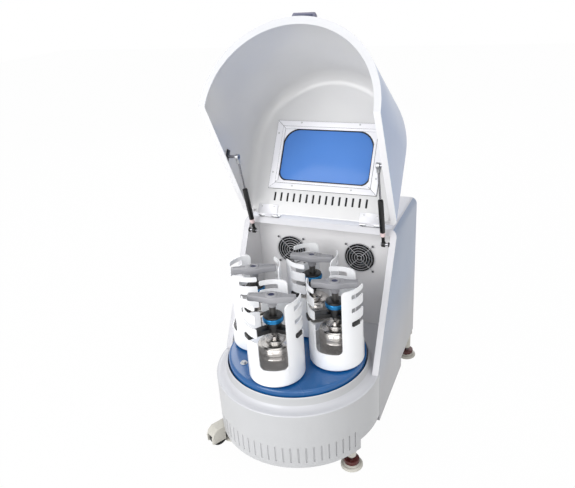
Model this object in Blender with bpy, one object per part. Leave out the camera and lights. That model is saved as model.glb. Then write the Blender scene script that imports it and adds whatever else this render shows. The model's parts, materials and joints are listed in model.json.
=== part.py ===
import math

import bmesh
import bpy
from mathutils import Matrix, Vector

for item in list(bpy.data.objects):
    bpy.data.objects.remove(item, do_unlink=True)

# Fits
clearance = 0.0003
running_gap = 0.0008
overrun = 0.010
weld = 0.000001

# Casing: X to the right, the front at -Y, the disc's axis at x = y = 0, the floor at z = 0
body_radius = 0.235
body_back = 0.470
seam_y = 0.015
sheet = 0.003
skirt_low = 0.068
skirt_raised = 0.098
skirt_run = 0.136
skirt_raised_y = body_radius - skirt_run
deck_top = 0.240
deck_sheet = 0.004
deck_round = 0.005
bow_facets = 36
hood_facets = 22

louvre_count = 25
louvre_width = 0.0045
louvre_low = 0.085
louvre_high = 0.135

deck_width = 0.039
collar_margin = 0.0075
well_margin = 0.0025
disc_play = 0.0035
collar_wall = 0.002
collar_flare = 0.0015
disc_radius = body_radius - deck_width
collar_foot_radius = body_radius - collar_margin
well_round = collar_foot_radius - well_margin
collar_inner = disc_radius + disc_play
collar_outer = collar_inner + collar_wall
collar_head_radius = collar_outer + collar_flare
collar_foot = 0.254
collar_top = 0.272
collar_sheet = 0.003

housing_top = 0.590
housing_top_front = 0.205
housing_low = 0.074
housing_rear_low = 0.105
wheel_arch_y = 0.289
wall_band = 0.018
inner_skin = 0.002
housing_round = 0.020
chamber_back = 0.256
chamber_top = 0.574
lip_thick = 0.004
web_thick = 0.003

panel_thick = 0.002
panel_low = 0.230
cover_thick = 0.0027
cover_slot_count = 5
cover_slot_width = 0.070
cover_slot_height = 0.005
cover_slot_pitch = 0.014
cover_slot_x = 0.110
cover_slot_low = 0.180
inlet_x = 0.080
inlet_z = 0.480
inlet_width = 0.032
inlet_height = 0.026
inlet_depth = 0.010
inlet_wall = 0.003
switch_x = -0.080
switch_width = 0.020
switch_height = 0.026
switch_depth = 0.010
switch_out = 0.003
switch_play = 0.001

plate_low = 0.098
plate_thick = 0.006
plate_back = 0.466

# Hood, drawn closed and then swung open about its hinge
hood_gap = 0.003
hood_sheet = 0.003
hood_back = 0.200
hood_side_round = 0.019
hood_front_round = 0.030
hood_round_steps = 3
rim_width = 0.020
rim_side_width = 0.017
rim_back = 0.196
hinge_y = 0.2045
hinge_z = 0.5971
open_angle = 122.0

frame_margin = 0.069
frame_width = 0.023
frame_half = body_radius - frame_margin
window_half = frame_half - frame_width
window_front = 0.065
window_back = 0.100
window_front_round = 0.040
window_back_round = 0.020
pane_thick = 0.0035
pane_bed = 0.004
frame_front = 0.085
frame_back = 0.123
frame_thick = 0.003
frame_step = 0.0012
frame_step_width = 0.007
vent_count = 15
vent_width = 0.006
vent_front = 0.134
vent_back = 0.160
vent_pitch = 0.0201

handle_left = 0.030
handle_right = 0.040
handle_low = 0.260
handle_high = 0.276
handle_out = 0.018
handle_bar = 0.006
handle_foot = 0.012

leaf_margin = 0.047
leaf_width = 0.062
leaf_outer_x = body_radius - leaf_margin
leaf_inner_x = leaf_outer_x - leaf_width
leaf_thick = 0.002
leaf_length = 0.021
leaf_front_y = 0.206
leaf_reach = 0.027
hood_leaf_thick = 0.0016
knuckle_radius = 0.004
knuckle_half = 0.011
hinge_pin_radius = 0.002

# Gas struts
strut_margin = 0.035
strut_x = body_radius - strut_margin
strut_foot_y = 0.187
strut_foot_z = 0.551
strut_head_y = 0.0757
strut_head_z = 0.4239
strut_eye_half = 0.005
strut_eye_radius = 0.008
strut_pin_radius = 0.004
strut_neck_radius = 0.0045
strut_collar_radius = 0.007
strut_collar_start = 0.029
strut_collar_end = 0.042
strut_tube_radius = 0.0075
strut_tube_end = 0.148
strut_rod_radius = 0.003
strut_rod_hold = 0.015
strut_bore_spare = 0.004
stud_plate_length = 0.038
stud_plate_width = 0.016
stud_plate_thick = 0.003

# Fans
fan_x = 0.110
fan_z = 0.466
fan_hole = 0.041
fan_square = 0.092
fan_depth = 0.025
fan_bore = 0.0425
fan_guard_radius = 0.043
fan_guard_wire = 0.0018
fan_guard_stand = 0.004
fan_guard_rings = 3
fan_guard_spokes = 4
fan_shroud = 0.0015
fan_hub_radius = 0.017
fan_blade_count = 7
fan_blade_tip = 0.0405
fan_blade_thick = 0.0015
fan_blade_pitch = 35.0
fan_spider_thick = 0.003
fan_spider_width = 0.006

# Disc and drive
disc_top = 0.288
disc_thick = 0.012
disc_low = 0.262
disc_round = 0.008
disc_rim = 0.006
boss_radius = 0.022
hub_radius = 0.032
boss_low = 0.240
shaft_radius = 0.020
shaft_nose = 0.004
pulley_low = 0.074
pulley_height = 0.020
pulley_radius = 0.095
groove_radius = 0.088
pulley_flange = 0.003
motor_y = 0.360
motor_radius = 0.065
motor_height = 0.196
motor_round = 0.010
motor_fin_count = 8
motor_fin_width = 0.004
motor_fin_depth = 0.006
motor_shaft_radius = 0.0095
motor_shaft_reach = 0.036
motor_pulley_radius = 0.050
motor_groove_radius = 0.043
belt_thick = 0.004
bearing_flange_radius = 0.070
bearing_flange_thick = 0.008
bearing_radius = 0.045
gear_low = 0.217
gear_height = 0.014
cup_gap = 0.021827
cup_overhang = 0.0005
cup_reach = disc_radius + cup_overhang
cup_radius = (cup_reach * math.sqrt(2) - cup_gap) / (2 + math.sqrt(2))
orbit_radius = cup_reach - cup_radius
sun_teeth = 24
planet_teeth = 12
tooth_play = 0.0016
addendum_share = 0.65
dedendum_share = 0.85
flank_share = 0.42

# Cups and what stands in them
cup_wall = 0.003
cup_low = 0.292
cup_floor = 0.006
cup_window_low = 0.344
cup_facets = 20
cup_window_round = 0.013
cup_post_round = 0.012
cup_foot_round = 0.006
cup_shaft_radius = 0.012
cup_slot_pitch = 0.040
cup_slot_pitch_high = 0.039
cup_top_band = 0.020
cup_slot_height = 0.014
cup_slot_past = 0.003
station_angles = (-94.2, -4.2, 85.8, 175.8)
window_angles = (-70.3, -88.9, -55.0, -27.5)
slot_start = 51.0
slot_end = 90.0
arm_angle = 61.5
handle_angles = (12.0, 15.0, 6.0, 25.0)

jar_margin = 0.029
jar_radius = cup_radius - jar_margin
jar_edge = 0.002
jar_seam = 0.373
jar_seam_out = 0.0018
jar_seam_height = 0.004
jar_lid_height = 0.012
jar_dome_height = 0.014
jar_shoulder = jar_seam + jar_lid_height
jar_dome = jar_shoulder + jar_dome_height
jar_dome_radius = 0.016
jar_neck = 0.006
jar_waist_radius = jar_radius - jar_neck
loop_height = 0.008
loop_top = jar_dome + loop_height
loop_half = 0.014
loop_depth = 0.008
loop_bar = 0.004

yoke_height = 0.012
yoke_hub_radius = 0.021
yoke_rise = 0.023
yoke_hub_height = 0.021
yoke_middle = loop_top + yoke_rise
yoke_hub_top = yoke_middle + yoke_hub_height
cup_slot_heights = (yoke_middle, yoke_middle + cup_slot_pitch,
                    yoke_middle + cup_slot_pitch + cup_slot_pitch_high)
cup_top = cup_slot_heights[-1] + cup_top_band
yoke_arm_width = 0.024
yoke_overhang = 0.0035
yoke_reach = cup_radius + yoke_overhang
spindle_radius = 0.009
nut_play = 0.0005
nut_low = yoke_hub_top + nut_play
nut_height = 0.018
nut_radius = 0.0275
nut_waist = 0.025
star_rise = 0.0575
star_low = nut_low + star_rise
star_height = 0.016
star_hub_radius = 0.014
star_hub_height = 0.019
star_hub_top = star_low + star_hub_height
star_margin = 0.013
star_reach = cup_radius - star_margin
star_waist = 0.019
star_root_half = 0.015
star_tip_half = 0.009

# Casters
front_caster_margin = 0.049
front_caster_run = 0.135
rear_caster_margin = 0.018
front_caster_x = body_radius - front_caster_margin
front_caster_y = front_caster_run - body_radius
rear_caster_x = body_radius - rear_caster_margin
rear_caster_y = 0.457
caster_angles = (-118.8, 126.0, -20.0, 200.0)
caster_offset = 0.050
caster_plate_radius = 0.018
caster_plate_thick = 0.006
caster_sleeve_radius = 0.013
caster_sleeve_low = 0.036
caster_cheek_half = 0.017
caster_pocket_half = 0.0118
caster_arch = 0.0273
caster_cheek_front = 0.033
caster_cheek_low = 0.018
caster_back = 0.029
caster_bonnet = 0.012
wheel_radius = 0.025
wheel_half = 0.0112
wheel_lift = 0.0015
wheel_round = 0.003
axle_radius = 0.003
foot_radius = 0.031
foot_edge = 0.005
foot_shoulder_radius = 0.020
foot_shoulder = 0.012
foot_stem_radius = 0.006
foot_stem_top = 0.084
thumb_radius = 0.021
thumb_low = 0.016
thumb_height = 0.010

collection = bpy.context.scene.collection
slope = (housing_top - deck_top - clearance) / housing_top_front
slope_stretch = math.hypot(1, slope)
rear_foot_y = rear_caster_y + foot_radius

machine = bpy.data.objects.new('machine_frame', None)
collection.objects.link(machine)
machine.location = (0, -(rear_foot_y - body_radius) / 2, 0)


def surface(name, colour, roughness, metallic=0.0, alpha=1.0):
    material = bpy.data.materials.new(name)
    material.use_nodes = True
    shader = material.node_tree.nodes['Principled BSDF']
    shader.inputs['Base Color'].default_value = (*colour, 1.0)
    shader.inputs['Roughness'].default_value = roughness
    shader.inputs['Metallic'].default_value = metallic
    shader.inputs['Alpha'].default_value = alpha
    return material


def solid(shape):
    bmesh.ops.recalc_face_normals(shape, faces=shape.faces[:])
    mesh = bpy.data.meshes.new('solid')
    shape.to_mesh(mesh)
    shape.free()
    return mesh


def prism(outline, low, high):
    shape = bmesh.new()
    face = shape.faces.new([shape.verts.new((x, y, low)) for x, y in outline])
    lifted = bmesh.ops.extrude_face_region(shape, geom=[face])
    corners = [part for part in lifted['geom'] if isinstance(part, bmesh.types.BMVert)]
    bmesh.ops.translate(shape, verts=corners, vec=(0, 0, high - low))
    return solid(shape)


def turned(profile, count, turn=0.0):
    shape = bmesh.new()
    corners = [shape.verts.new((radius, 0, height)) for radius, height in profile]
    edges = []
    for first, second in zip(corners, corners[1:] + corners[:1]):
        if first.co.x > 0 or second.co.x > 0:
            edges.append(shape.edges.new((first, second)))
    bmesh.ops.spin(shape, geom=corners + edges, cent=(0, 0, 0), axis=(0, 0, 1),
                   angle=math.tau, steps=count, use_merge=True)
    bmesh.ops.remove_doubles(shape, verts=shape.verts[:], dist=weld)
    bmesh.ops.rotate(shape, verts=shape.verts[:], cent=(0, 0, 0),
                     matrix=Matrix.Rotation(turn, 3, 'Z'))
    return solid(shape)


def lofted(rings):
    shape = bmesh.new()
    loops = [[shape.verts.new(point) for point in ring] for ring in rings]
    for lower, upper in zip(loops, loops[1:]):
        for index in range(len(lower)):
            after = (index + 1) % len(lower)
            shape.faces.new((lower[index], lower[after], upper[after], upper[index]))
    shape.faces.new(loops[0][::-1])
    shape.faces.new(loops[-1])
    return solid(shape)


def box(low, high):
    outline = [(low[0], low[1]), (high[0], low[1]), (high[0], high[1]), (low[0], high[1])]
    return prism(outline, low[2], high[2])


def disc(radius, low, high, count, turn=0.0):
    return turned([(0, low), (radius, low), (radius, high), (0, high)], count, turn)


def moved(mesh, matrix):
    copy = mesh.copy()
    copy.transform(matrix)
    if matrix.determinant() < 0:
        copy.flip_normals()
    return copy


def shifted(mesh, x, y, z=0.0):
    return moved(mesh, Matrix.Translation((x, y, z)))


def spun(mesh, degrees):
    return moved(mesh, Matrix.Rotation(math.radians(degrees), 4, 'Z'))


def along_x(mesh):
    return moved(mesh, Matrix(((0, 0, 1, 0), (1, 0, 0, 0), (0, 1, 0, 0), (0, 0, 0, 1))))


def along_y(mesh):
    return moved(mesh, Matrix(((1, 0, 0, 0), (0, 0, -1, 0), (0, 1, 0, 0), (0, 0, 0, 1))))


def together(meshes):
    shape = bmesh.new()
    for mesh in meshes:
        shape.from_mesh(mesh)
    result = bpy.data.meshes.new('group')
    shape.to_mesh(result)
    shape.free()
    return result


def combined(first, second, operation):
    holder = bpy.data.objects.new('holder', first)
    tool = bpy.data.objects.new('tool', second)
    collection.objects.link(holder)
    collection.objects.link(tool)
    modifier = holder.modifiers.new('Combine', 'BOOLEAN')
    modifier.operation = operation
    modifier.solver = 'EXACT'
    modifier.object = tool
    graph = bpy.context.evaluated_depsgraph_get()
    mesh = bpy.data.meshes.new_from_object(holder.evaluated_get(graph))
    bpy.data.objects.remove(holder, do_unlink=True)
    bpy.data.objects.remove(tool, do_unlink=True)
    shape = bmesh.new()
    shape.from_mesh(mesh)
    bmesh.ops.remove_doubles(shape, verts=shape.verts[:], dist=weld)
    bmesh.ops.dissolve_degenerate(shape, edges=shape.edges[:], dist=weld)
    shape.to_mesh(mesh)
    shape.free()
    return mesh


def cut(mesh, *tools):
    for tool in tools:
        mesh = combined(mesh, tool, 'DIFFERENCE')
    return mesh


def united(mesh, *others):
    for other in others:
        mesh = combined(mesh, other, 'UNION')
    return mesh


def place(name, mesh, material, origin=(0, 0, 0), turn=0.0, sharp=32.0):
    result = moved(mesh, Matrix.Translation(Vector(origin)).inverted())
    if turn:
        result = moved(result, Matrix.Rotation(math.radians(-turn), 4, 'Z'))
    tidy = bmesh.new()
    tidy.from_mesh(result)
    bmesh.ops.dissolve_limit(tidy, angle_limit=math.radians(0.05), verts=tidy.verts[:], edges=tidy.edges[:])
    tidy.to_mesh(result)
    tidy.free()
    result.name = name
    result.materials.clear()
    result.materials.append(material)
    result.shade_smooth()
    result.set_sharp_from_angle(angle=math.radians(sharp))
    body = bpy.data.objects.new(name, result)
    body.location = origin
    body.rotation_euler = (0, 0, math.radians(turn))
    body.parent = machine
    collection.objects.link(body)
    return body


def hole_radius(radius, gap, count):
    return (radius + gap) / math.cos(math.pi / count)


def rounded_outline(corners, steps=4):
    # corners as (x, y, radius), in order round a rectangle or other convex outline
    points = []
    count = len(corners)
    for index in range(count):
        before = Vector(corners[index - 1][:2])
        here = Vector(corners[index][:2])
        after = Vector(corners[(index + 1) % count][:2])
        radius = corners[index][2]
        if radius <= 0:
            points.append(tuple(here))
            continue
        into = (before - here).normalized()
        out = (after - here).normalized()
        half = math.acos(max(-1.0, min(1.0, into.dot(out)))) / 2
        reach = radius / math.tan(half)
        centre = here + (into + out).normalized() * (radius / math.sin(half))
        start = here + into * reach - centre
        end = here + out * reach - centre
        sweep = start.angle_signed(end)
        for step in range(steps + 1):
            arm = start.copy()
            arm.rotate(Matrix.Rotation(-sweep * step / steps, 2))
            points.append(tuple(centre + arm))
    return points


def bow_angles(facets=bow_facets):
    step = math.pi / facets
    return [-math.pi] + [-math.pi + step * (index + 0.5) for index in range(facets)] + [0.0]


def bow_outline(radius, back, facets=bow_facets):
    points = [(radius * math.cos(angle), radius * math.sin(angle)) for angle in bow_angles(facets)]
    return [(-radius, back)] + points + [(radius, back)]


def bow_ring(radius, back, height):
    return [(x, y, height) for x, y in bow_outline(radius, back)]


# Materials, in the photograph's colours
shell_paint = surface('shell_paint', (0.66, 0.66, 0.68), 0.38)
deck_paint = surface('deck_paint', (0.72, 0.72, 0.73), 0.35)
hood_paint = surface('hood_paint', (0.60, 0.63, 0.68), 0.32)
frame_paint = surface('frame_paint', (0.70, 0.70, 0.69), 0.40)
pane_glass = surface('pane_glass', (0.10, 0.26, 0.68), 0.08)
disc_paint = surface('disc_paint', (0.012, 0.09, 0.26), 0.40)
cup_paint = surface('cup_paint', (0.84, 0.86, 0.88), 0.28)
steel = surface('steel', (0.45, 0.43, 0.41), 0.25, 1.0)
zinc = surface('zinc', (0.60, 0.60, 0.60), 0.30, 1.0)
black_paint = surface('black_paint', (0.012, 0.012, 0.014), 0.35)
grey_paint = surface('grey_paint', (0.09, 0.09, 0.10), 0.35)
nut_blue = surface('nut_blue', (0.01, 0.14, 0.42), 0.35)
handle_grey = surface('handle_grey', (0.25, 0.25, 0.33), 0.45)
caster_cream = surface('caster_cream', (0.72, 0.70, 0.62), 0.50)
rubber = surface('rubber', (0.015, 0.015, 0.015), 0.75)
red_plastic = surface('red_plastic', (0.12, 0.01, 0.01), 0.50)

# Front skirt and deck
edge_angles = [math.radians(45 * step) for step in range(3)]
outer_rings = [bow_ring(body_radius, seam_y, skirt_low)]
for angle in edge_angles:
    inset = deck_round * (1 - math.cos(angle))
    height = deck_top - deck_round * (1 - math.sin(angle))
    outer_rings.append(bow_ring(body_radius - inset, seam_y, height))
shell = lofted(outer_rings)
inner_back = seam_y + overrun
hollow = lofted([bow_ring(body_radius - sheet, inner_back, skirt_low - overrun),
                 bow_ring(body_radius - sheet, inner_back, deck_top - deck_sheet)])
shell = cut(shell, hollow)
inner_half = body_radius - wall_band
deck_back = chamber_back
deck_front = -body_radius / 4
rear_deck = box((-inner_half + clearance, deck_front, deck_top - deck_sheet),
                (inner_half - clearance, deck_back, deck_top))
shell = united(shell, rear_deck)
well_facets = 30
well_turn = math.pi / well_facets
shell = cut(shell, disc(well_round, deck_top - deck_sheet - overrun, deck_top + overrun, well_facets,
                        well_turn))
# The collar stays low as far in as the closed hood's rim reaches, and rises inside it
knee_radius = (body_radius - rim_width) * math.cos(math.pi / hood_facets / 2) - running_gap
knee_top = deck_top + hood_gap - running_gap
collar = turned([(collar_foot_radius, deck_top - collar_sheet), (collar_foot_radius, deck_top),
                 (knee_radius, knee_top), (collar_head_radius, collar_foot), (collar_outer, collar_foot),
                 (collar_outer, collar_top), (collar_inner, collar_top),
                 (collar_inner, collar_foot - collar_sheet),
                 (knee_radius - collar_sheet / 2, knee_top - collar_sheet)], well_facets, well_turn)
shell = united(shell, collar)
for side in (-1, 1):
    near = side * (inner_half - clearance)
    far = side * (body_radius + overrun)
    low_x = min(near, far)
    high_x = max(near, far)
    foot_rest = box((low_x, -running_gap, deck_top - clearance), (high_x, body_back, collar_top + overrun))
    beside = box((low_x, seam_y, deck_top - deck_sheet - overrun), (high_x, body_back, collar_top + overrun))
    shell = cut(shell, foot_rest, beside)
wide = body_radius + overrun
shell = cut(shell, box((-wide, -skirt_raised_y, skirt_low - overrun),
                       (wide, seam_y + overrun, skirt_raised)))
slots = []
slot_step = 180.0 / bow_facets
for index in range(louvre_count):
    angle = -90.0 + slot_step * (index - (louvre_count - 1) / 2)
    slot = box((body_radius - sheet - overrun, -louvre_width / 2, louvre_low),
               (body_radius + overrun, louvre_width / 2, louvre_high))
    slots.append(spun(slot, angle))
shell = cut(shell, together(slots))
place('base_shell', shell, shell_paint)

# Rear housing: the side profile, then its chamber, rear bay and hollow side walls
side_profile = [(seam_y + clearance, housing_low), (wheel_arch_y, housing_low),
                (wheel_arch_y, housing_rear_low), (body_back, housing_rear_low),
                (body_back, housing_top), (housing_top_front, housing_top),
                (0, deck_top + clearance), (seam_y + clearance, deck_top + clearance)]
block = along_x(prism(side_profile, -body_radius, body_radius))
form = bmesh.new()
form.from_mesh(block)
long_edges = []
for edge in form.edges:
    first, second = (vert.co for vert in edge.verts)
    top = min(first.z, second.z) > housing_top - weld
    lengthways = abs(first.y - second.y) > overrun
    if top and lengthways:
        long_edges.append(edge)
bmesh.ops.bevel(form, geom=long_edges, offset=housing_round, offset_type='OFFSET', segments=4,
                profile=0.5, affect='EDGES')
form.to_mesh(block)
form.free()
chamber = box((-inner_half, -overrun, housing_low - overrun), (inner_half, chamber_back, chamber_top))
lip_back = housing_top_front + lip_thick
ceiling = box((-inner_half, lip_back, chamber_top - overrun),
              (inner_half, chamber_back, housing_top - sheet))
bay_half = body_radius - sheet
bay_round = housing_round - sheet
bay_outline = rounded_outline([(-bay_half, housing_low - overrun, 0), (bay_half, housing_low - overrun, 0),
                               (bay_half, housing_top - sheet, bay_round),
                               (-bay_half, housing_top - sheet, bay_round)])
bay = shifted(along_y(prism(bay_outline, 0, body_back - chamber_back + overrun)),
              0, body_back + overrun)
block = cut(block, united(chamber, ceiling), bay)
pocket_front = seam_y + sheet
pocket_back = chamber_back - web_thick
pocket_top = housing_top - housing_round
pocket_head_y = housing_top_front - (housing_top - pocket_top) / slope + sheet
pocket_foot_z = deck_top + (pocket_front - sheet) * slope
pocket_profile = [(pocket_front, housing_low - overrun), (pocket_front, pocket_foot_z),
                  (pocket_head_y, pocket_top), (pocket_back, pocket_top),
                  (pocket_back, housing_low - overrun)]
pocket = along_x(prism(pocket_profile, inner_half + inner_skin, bay_half))
block = cut(block, pocket, moved(pocket, Matrix.Scale(-1, 4, (1, 0, 0))))
pin_facets = 12
foot_stud = along_x(disc(strut_pin_radius, strut_x - strut_eye_half - sheet, inner_half + inner_skin / 2,
                         pin_facets))
foot_stud = shifted(foot_stud, 0, strut_foot_y, strut_foot_z)
block = united(block, foot_stud, moved(foot_stud, Matrix.Scale(-1, 4, (1, 0, 0))))
place('rear_housing', block, shell_paint)

# Chassis plate
plate_top = plate_low + plate_thick
plate_half = bay_half - clearance
narrow_half = inner_half - clearance
bow = bow_outline(plate_half, seam_y)
plate_outline = bow + [(narrow_half, seam_y), (narrow_half, chamber_back + clearance),
                       (plate_half, chamber_back + clearance), (plate_half, plate_back),
                       (-plate_half, plate_back), (-plate_half, chamber_back + clearance),
                       (-narrow_half, chamber_back + clearance), (-narrow_half, seam_y)]
plate = prism(plate_outline, plate_low, plate_top)
shaft_hole = disc(shaft_radius + sheet, plate_low - overrun, plate_top + overrun, 16)
motor_hole = shifted(disc(motor_shaft_radius + sheet, plate_low - overrun, plate_top + overrun, 12),
                     0, motor_y)
place('chassis_plate', cut(plate, together([shaft_hole, motor_hole])), zinc)

# Bulkhead behind the disc, and the fans in it
panel_round = bay_round - clearance
panel_outline = rounded_outline([(-plate_half, panel_low, 0), (plate_half, panel_low, 0),
                                 (plate_half, housing_top - sheet - clearance, panel_round),
                                 (-plate_half, housing_top - sheet - clearance, panel_round)])
panel_front = chamber_back + clearance
panel_rear = panel_front + panel_thick
panel = shifted(along_y(prism(panel_outline, 0, panel_thick)), 0, panel_rear)
fan_facets = 16
holes = [shifted(along_y(disc(fan_hole, -overrun, overrun, fan_facets)), side * fan_x, panel_rear, fan_z)
         for side in (-1, 1)]
place('bulkhead_panel', cut(panel, together(holes)), frame_paint)

guard_facets = 12
fan_front = panel_rear + clearance
fan_rear = fan_front + fan_depth
guard_front = panel_front - fan_guard_stand - fan_guard_wire


def fan_frame():
    half = fan_square / 2
    square = rounded_outline([(-half, -half, sheet), (half, -half, sheet),
                              (half, half, sheet), (-half, half, sheet)], 1)
    frame = prism(square, fan_front, fan_rear)
    frame = cut(frame, disc(fan_bore, fan_front + sheet, fan_rear + overrun, fan_facets))
    shroud_outer = (fan_hole - clearance) * math.cos(math.pi / fan_facets)
    shroud = disc(shroud_outer, guard_front + fan_guard_wire / 2, fan_front + sheet / 2, fan_facets)
    inlet = disc(shroud_outer - fan_shroud, guard_front - overrun, fan_rear + overrun, fan_facets)
    frame = cut(united(frame, shroud), inlet)
    frame = united(frame, disc(fan_hub_radius, fan_rear - fan_spider_thick, fan_rear, fan_facets // 2))
    for index in range(fan_guard_spokes):
        arm = box((0, -fan_spider_width / 2, fan_rear - fan_spider_thick),
                  (fan_bore + sheet / 2, fan_spider_width / 2, fan_rear))
        frame = united(frame, spun(arm, 90.0 * index + 45.0))
    for index in range(fan_guard_rings):
        outer = fan_guard_radius * (index + 1) / fan_guard_rings
        ring = turned([(outer - fan_guard_wire, guard_front), (outer, guard_front),
                       (outer, guard_front + fan_guard_wire),
                       (outer - fan_guard_wire, guard_front + fan_guard_wire)], guard_facets)
        frame = united(frame, ring)
    for index in range(fan_guard_spokes // 2):
        spoke = box((-fan_guard_radius + fan_guard_wire / 2, -fan_guard_wire / 2, guard_front),
                    (fan_guard_radius - fan_guard_wire / 2, fan_guard_wire / 2, guard_front + fan_guard_wire))
        frame = united(frame, spun(spoke, 90.0 * index + 45.0))
    return frame


def fan_rotor():
    low = fan_front + sheet
    high = fan_rear - fan_spider_thick - clearance
    rotor = disc(fan_hub_radius, low, high, fan_facets // 2)
    middle = (low + high) / 2
    chord = (high - low) / math.cos(math.radians(fan_blade_pitch)) / 2
    for index in range(fan_blade_count):
        blade = box((fan_hub_radius - sheet, -fan_blade_thick / 2, -chord / 2),
                    (fan_blade_tip, fan_blade_thick / 2, chord / 2))
        blade = moved(blade, Matrix.Rotation(math.radians(fan_blade_pitch), 4, 'X'))
        blade = spun(shifted(blade, 0, 0, middle), 360.0 * index / fan_blade_count)
        rotor = united(rotor, blade)
    return rotor


# The fans are drawn along Z and laid down so that Z becomes Y
lay_down = Matrix(((1, 0, 0, 0), (0, 0, 1, 0), (0, -1, 0, 0), (0, 0, 0, 1)))
fan_body = moved(fan_frame(), lay_down)
fan_wheel = moved(fan_rotor(), lay_down)
for side, word in ((-1, 'left'), (1, 'right')):
    place('fan_%s_unit' % word, shifted(fan_body, side * fan_x, 0, fan_z), black_paint)
    place('fan_%s_rotor' % word, shifted(fan_wheel, side * fan_x, 0, fan_z), black_paint,
          (side * fan_x, fan_front, fan_z))

# Back cover with its louvres, inlet and rocker switch
cover_low = housing_rear_low + clearance
cover_outline = rounded_outline([(-plate_half, cover_low, 0), (plate_half, cover_low, 0),
                                 (plate_half, housing_top - sheet - clearance, panel_round),
                                 (-plate_half, housing_top - sheet - clearance, panel_round)])
cover_rear = body_back - clearance
cover = shifted(along_y(prism(cover_outline, 0, cover_thick)), 0, cover_rear)
cover_slots = []
for side in (-1, 1):
    for index in range(cover_slot_count):
        height = cover_slot_low + cover_slot_pitch * index
        cover_slots.append(box((side * cover_slot_x - cover_slot_width / 2, body_back - overrun, height),
                               (side * cover_slot_x + cover_slot_width / 2, body_back + overrun,
                                height + cover_slot_height)))
inlet_boss = box((inlet_x - inlet_width / 2, cover_rear - inlet_depth, inlet_z - inlet_height / 2),
                 (inlet_x + inlet_width / 2, cover_rear, inlet_z + inlet_height / 2))
inlet_mouth = box((inlet_x - inlet_width / 2 + inlet_wall, cover_rear - inlet_depth + inlet_wall,
                   inlet_z - inlet_height / 2 + inlet_wall),
                  (inlet_x + inlet_width / 2 - inlet_wall, body_back + overrun,
                   inlet_z + inlet_height / 2 - inlet_wall))
switch_gap = switch_width / 2 + clearance
switch_rise = switch_height / 2 + switch_play
switch_mouth = box((switch_x - switch_gap, body_back - overrun - switch_depth, inlet_z - switch_rise),
                   (switch_x + switch_gap, body_back + overrun, inlet_z + switch_rise))
cover = cut(united(cover, inlet_boss), together(cover_slots + [switch_mouth]), inlet_mouth)
place('back_cover', cover, shell_paint)
rocker_half = switch_height / 2
rocker_front = cover_rear - switch_depth + switch_out
rocker_profile = [(rocker_front, inlet_z - rocker_half / 2), (rocker_front, inlet_z + rocker_half / 2),
                  (cover_rear - cover_thick, inlet_z + rocker_half),
                  (cover_rear + switch_out, inlet_z + rocker_half),
                  (cover_rear + switch_out / 3, inlet_z), (cover_rear + switch_out / 3, inlet_z - rocker_half),
                  (cover_rear - cover_thick, inlet_z - rocker_half)]
rocker = along_x(prism(rocker_profile, switch_x - switch_width / 2, switch_x + switch_width / 2))
place('main_switch', rocker, black_paint, (switch_x, cover_rear - cover_thick, inlet_z))

# Hood, in its closed place
swing = (Matrix.Translation((0, hinge_y, hinge_z))
         @ Matrix.Rotation(math.radians(-open_angle), 4, 'X')
         @ Matrix.Translation((0, -hinge_y, -hinge_z)))
hinge_origin = (0, hinge_y, hinge_z)
rim_z = deck_top + hood_gap
hood_line = deck_top + clearance + hood_gap * slope_stretch
hood_top = housing_top
top_inner = hood_top - hood_sheet


def hood_rings(offset, low, back):
    start = bow_outline(body_radius - offset, back, hood_facets)
    rings = [[(x, y, low) for x, y in start]]
    for step in range(hood_round_steps + 1):
        turn = math.radians(90.0 * step / hood_round_steps)
        ring = []
        for x, y in bow_outline(1.0, 0.0, hood_facets):
            blend = y * y
            fillet = hood_side_round + (hood_front_round - hood_side_round) * blend - offset
            reach = body_radius - offset - fillet * (1 - math.cos(turn))
            height = hood_top - offset - fillet * (1 - math.sin(turn))
            ring.append((reach * x, reach * y, height))
        first = ring[0]
        last = ring[-1]
        ring[0] = (first[0], back, first[2])
        ring[-1] = (last[0], back, last[2])
        rings.append(ring)
    return rings


def below_hood(lift):
    # everything under the hood's rim plane and its sloping edge, raised by lift
    rim = rim_z + lift
    line = hood_line + lift * slope_stretch
    knee = (rim - line) / slope
    back = body_back
    deep = rim_z - overrun * 2
    front = -body_radius - overrun
    profile = [(front, rim), (knee, rim), (back, line + slope * back), (back, deep), (front, deep)]
    return along_x(prism(profile, -wide, wide))


hood = cut(lofted(hood_rings(0.0, rim_z - overrun, hood_back + overrun)), below_hood(0.0))
hood_hollow = lofted(hood_rings(hood_sheet, rim_z - overrun, hood_back + overrun * 2))
hood = cut(hood, cut(hood_hollow, below_hood(hood_sheet)))
mouth_radius = body_radius - rim_width
mouth_half = body_radius - rim_side_width
mouth_outline = [(mouth_half * math.cos(angle), mouth_radius * math.sin(angle))
                 for angle in bow_angles(hood_facets)]
mouth_outline = [(-mouth_half, rim_back)] + mouth_outline + [(mouth_half, rim_back)]
hood = cut(hood, prism(mouth_outline, rim_z - overrun * 2, top_inner - overrun))
throat_half = body_radius - hood_side_round - hood_sheet
throat = box((-throat_half, rim_back - rim_width, top_inner - rim_width),
             (throat_half, hood_back + overrun, top_inner))
hood = cut(hood, throat)
trim = box((-wide, hood_back, top_inner - overrun * 2), (wide, body_back, hood_top + overrun))
hood = cut(hood, trim)


def window_outline(grow):
    half = window_half + grow
    return rounded_outline([(-half, -window_front - grow, window_front_round + grow),
                            (half, -window_front - grow, window_front_round + grow),
                            (half, window_back + grow, window_back_round + grow),
                            (-half, window_back + grow, window_back_round + grow)], 4)


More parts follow.
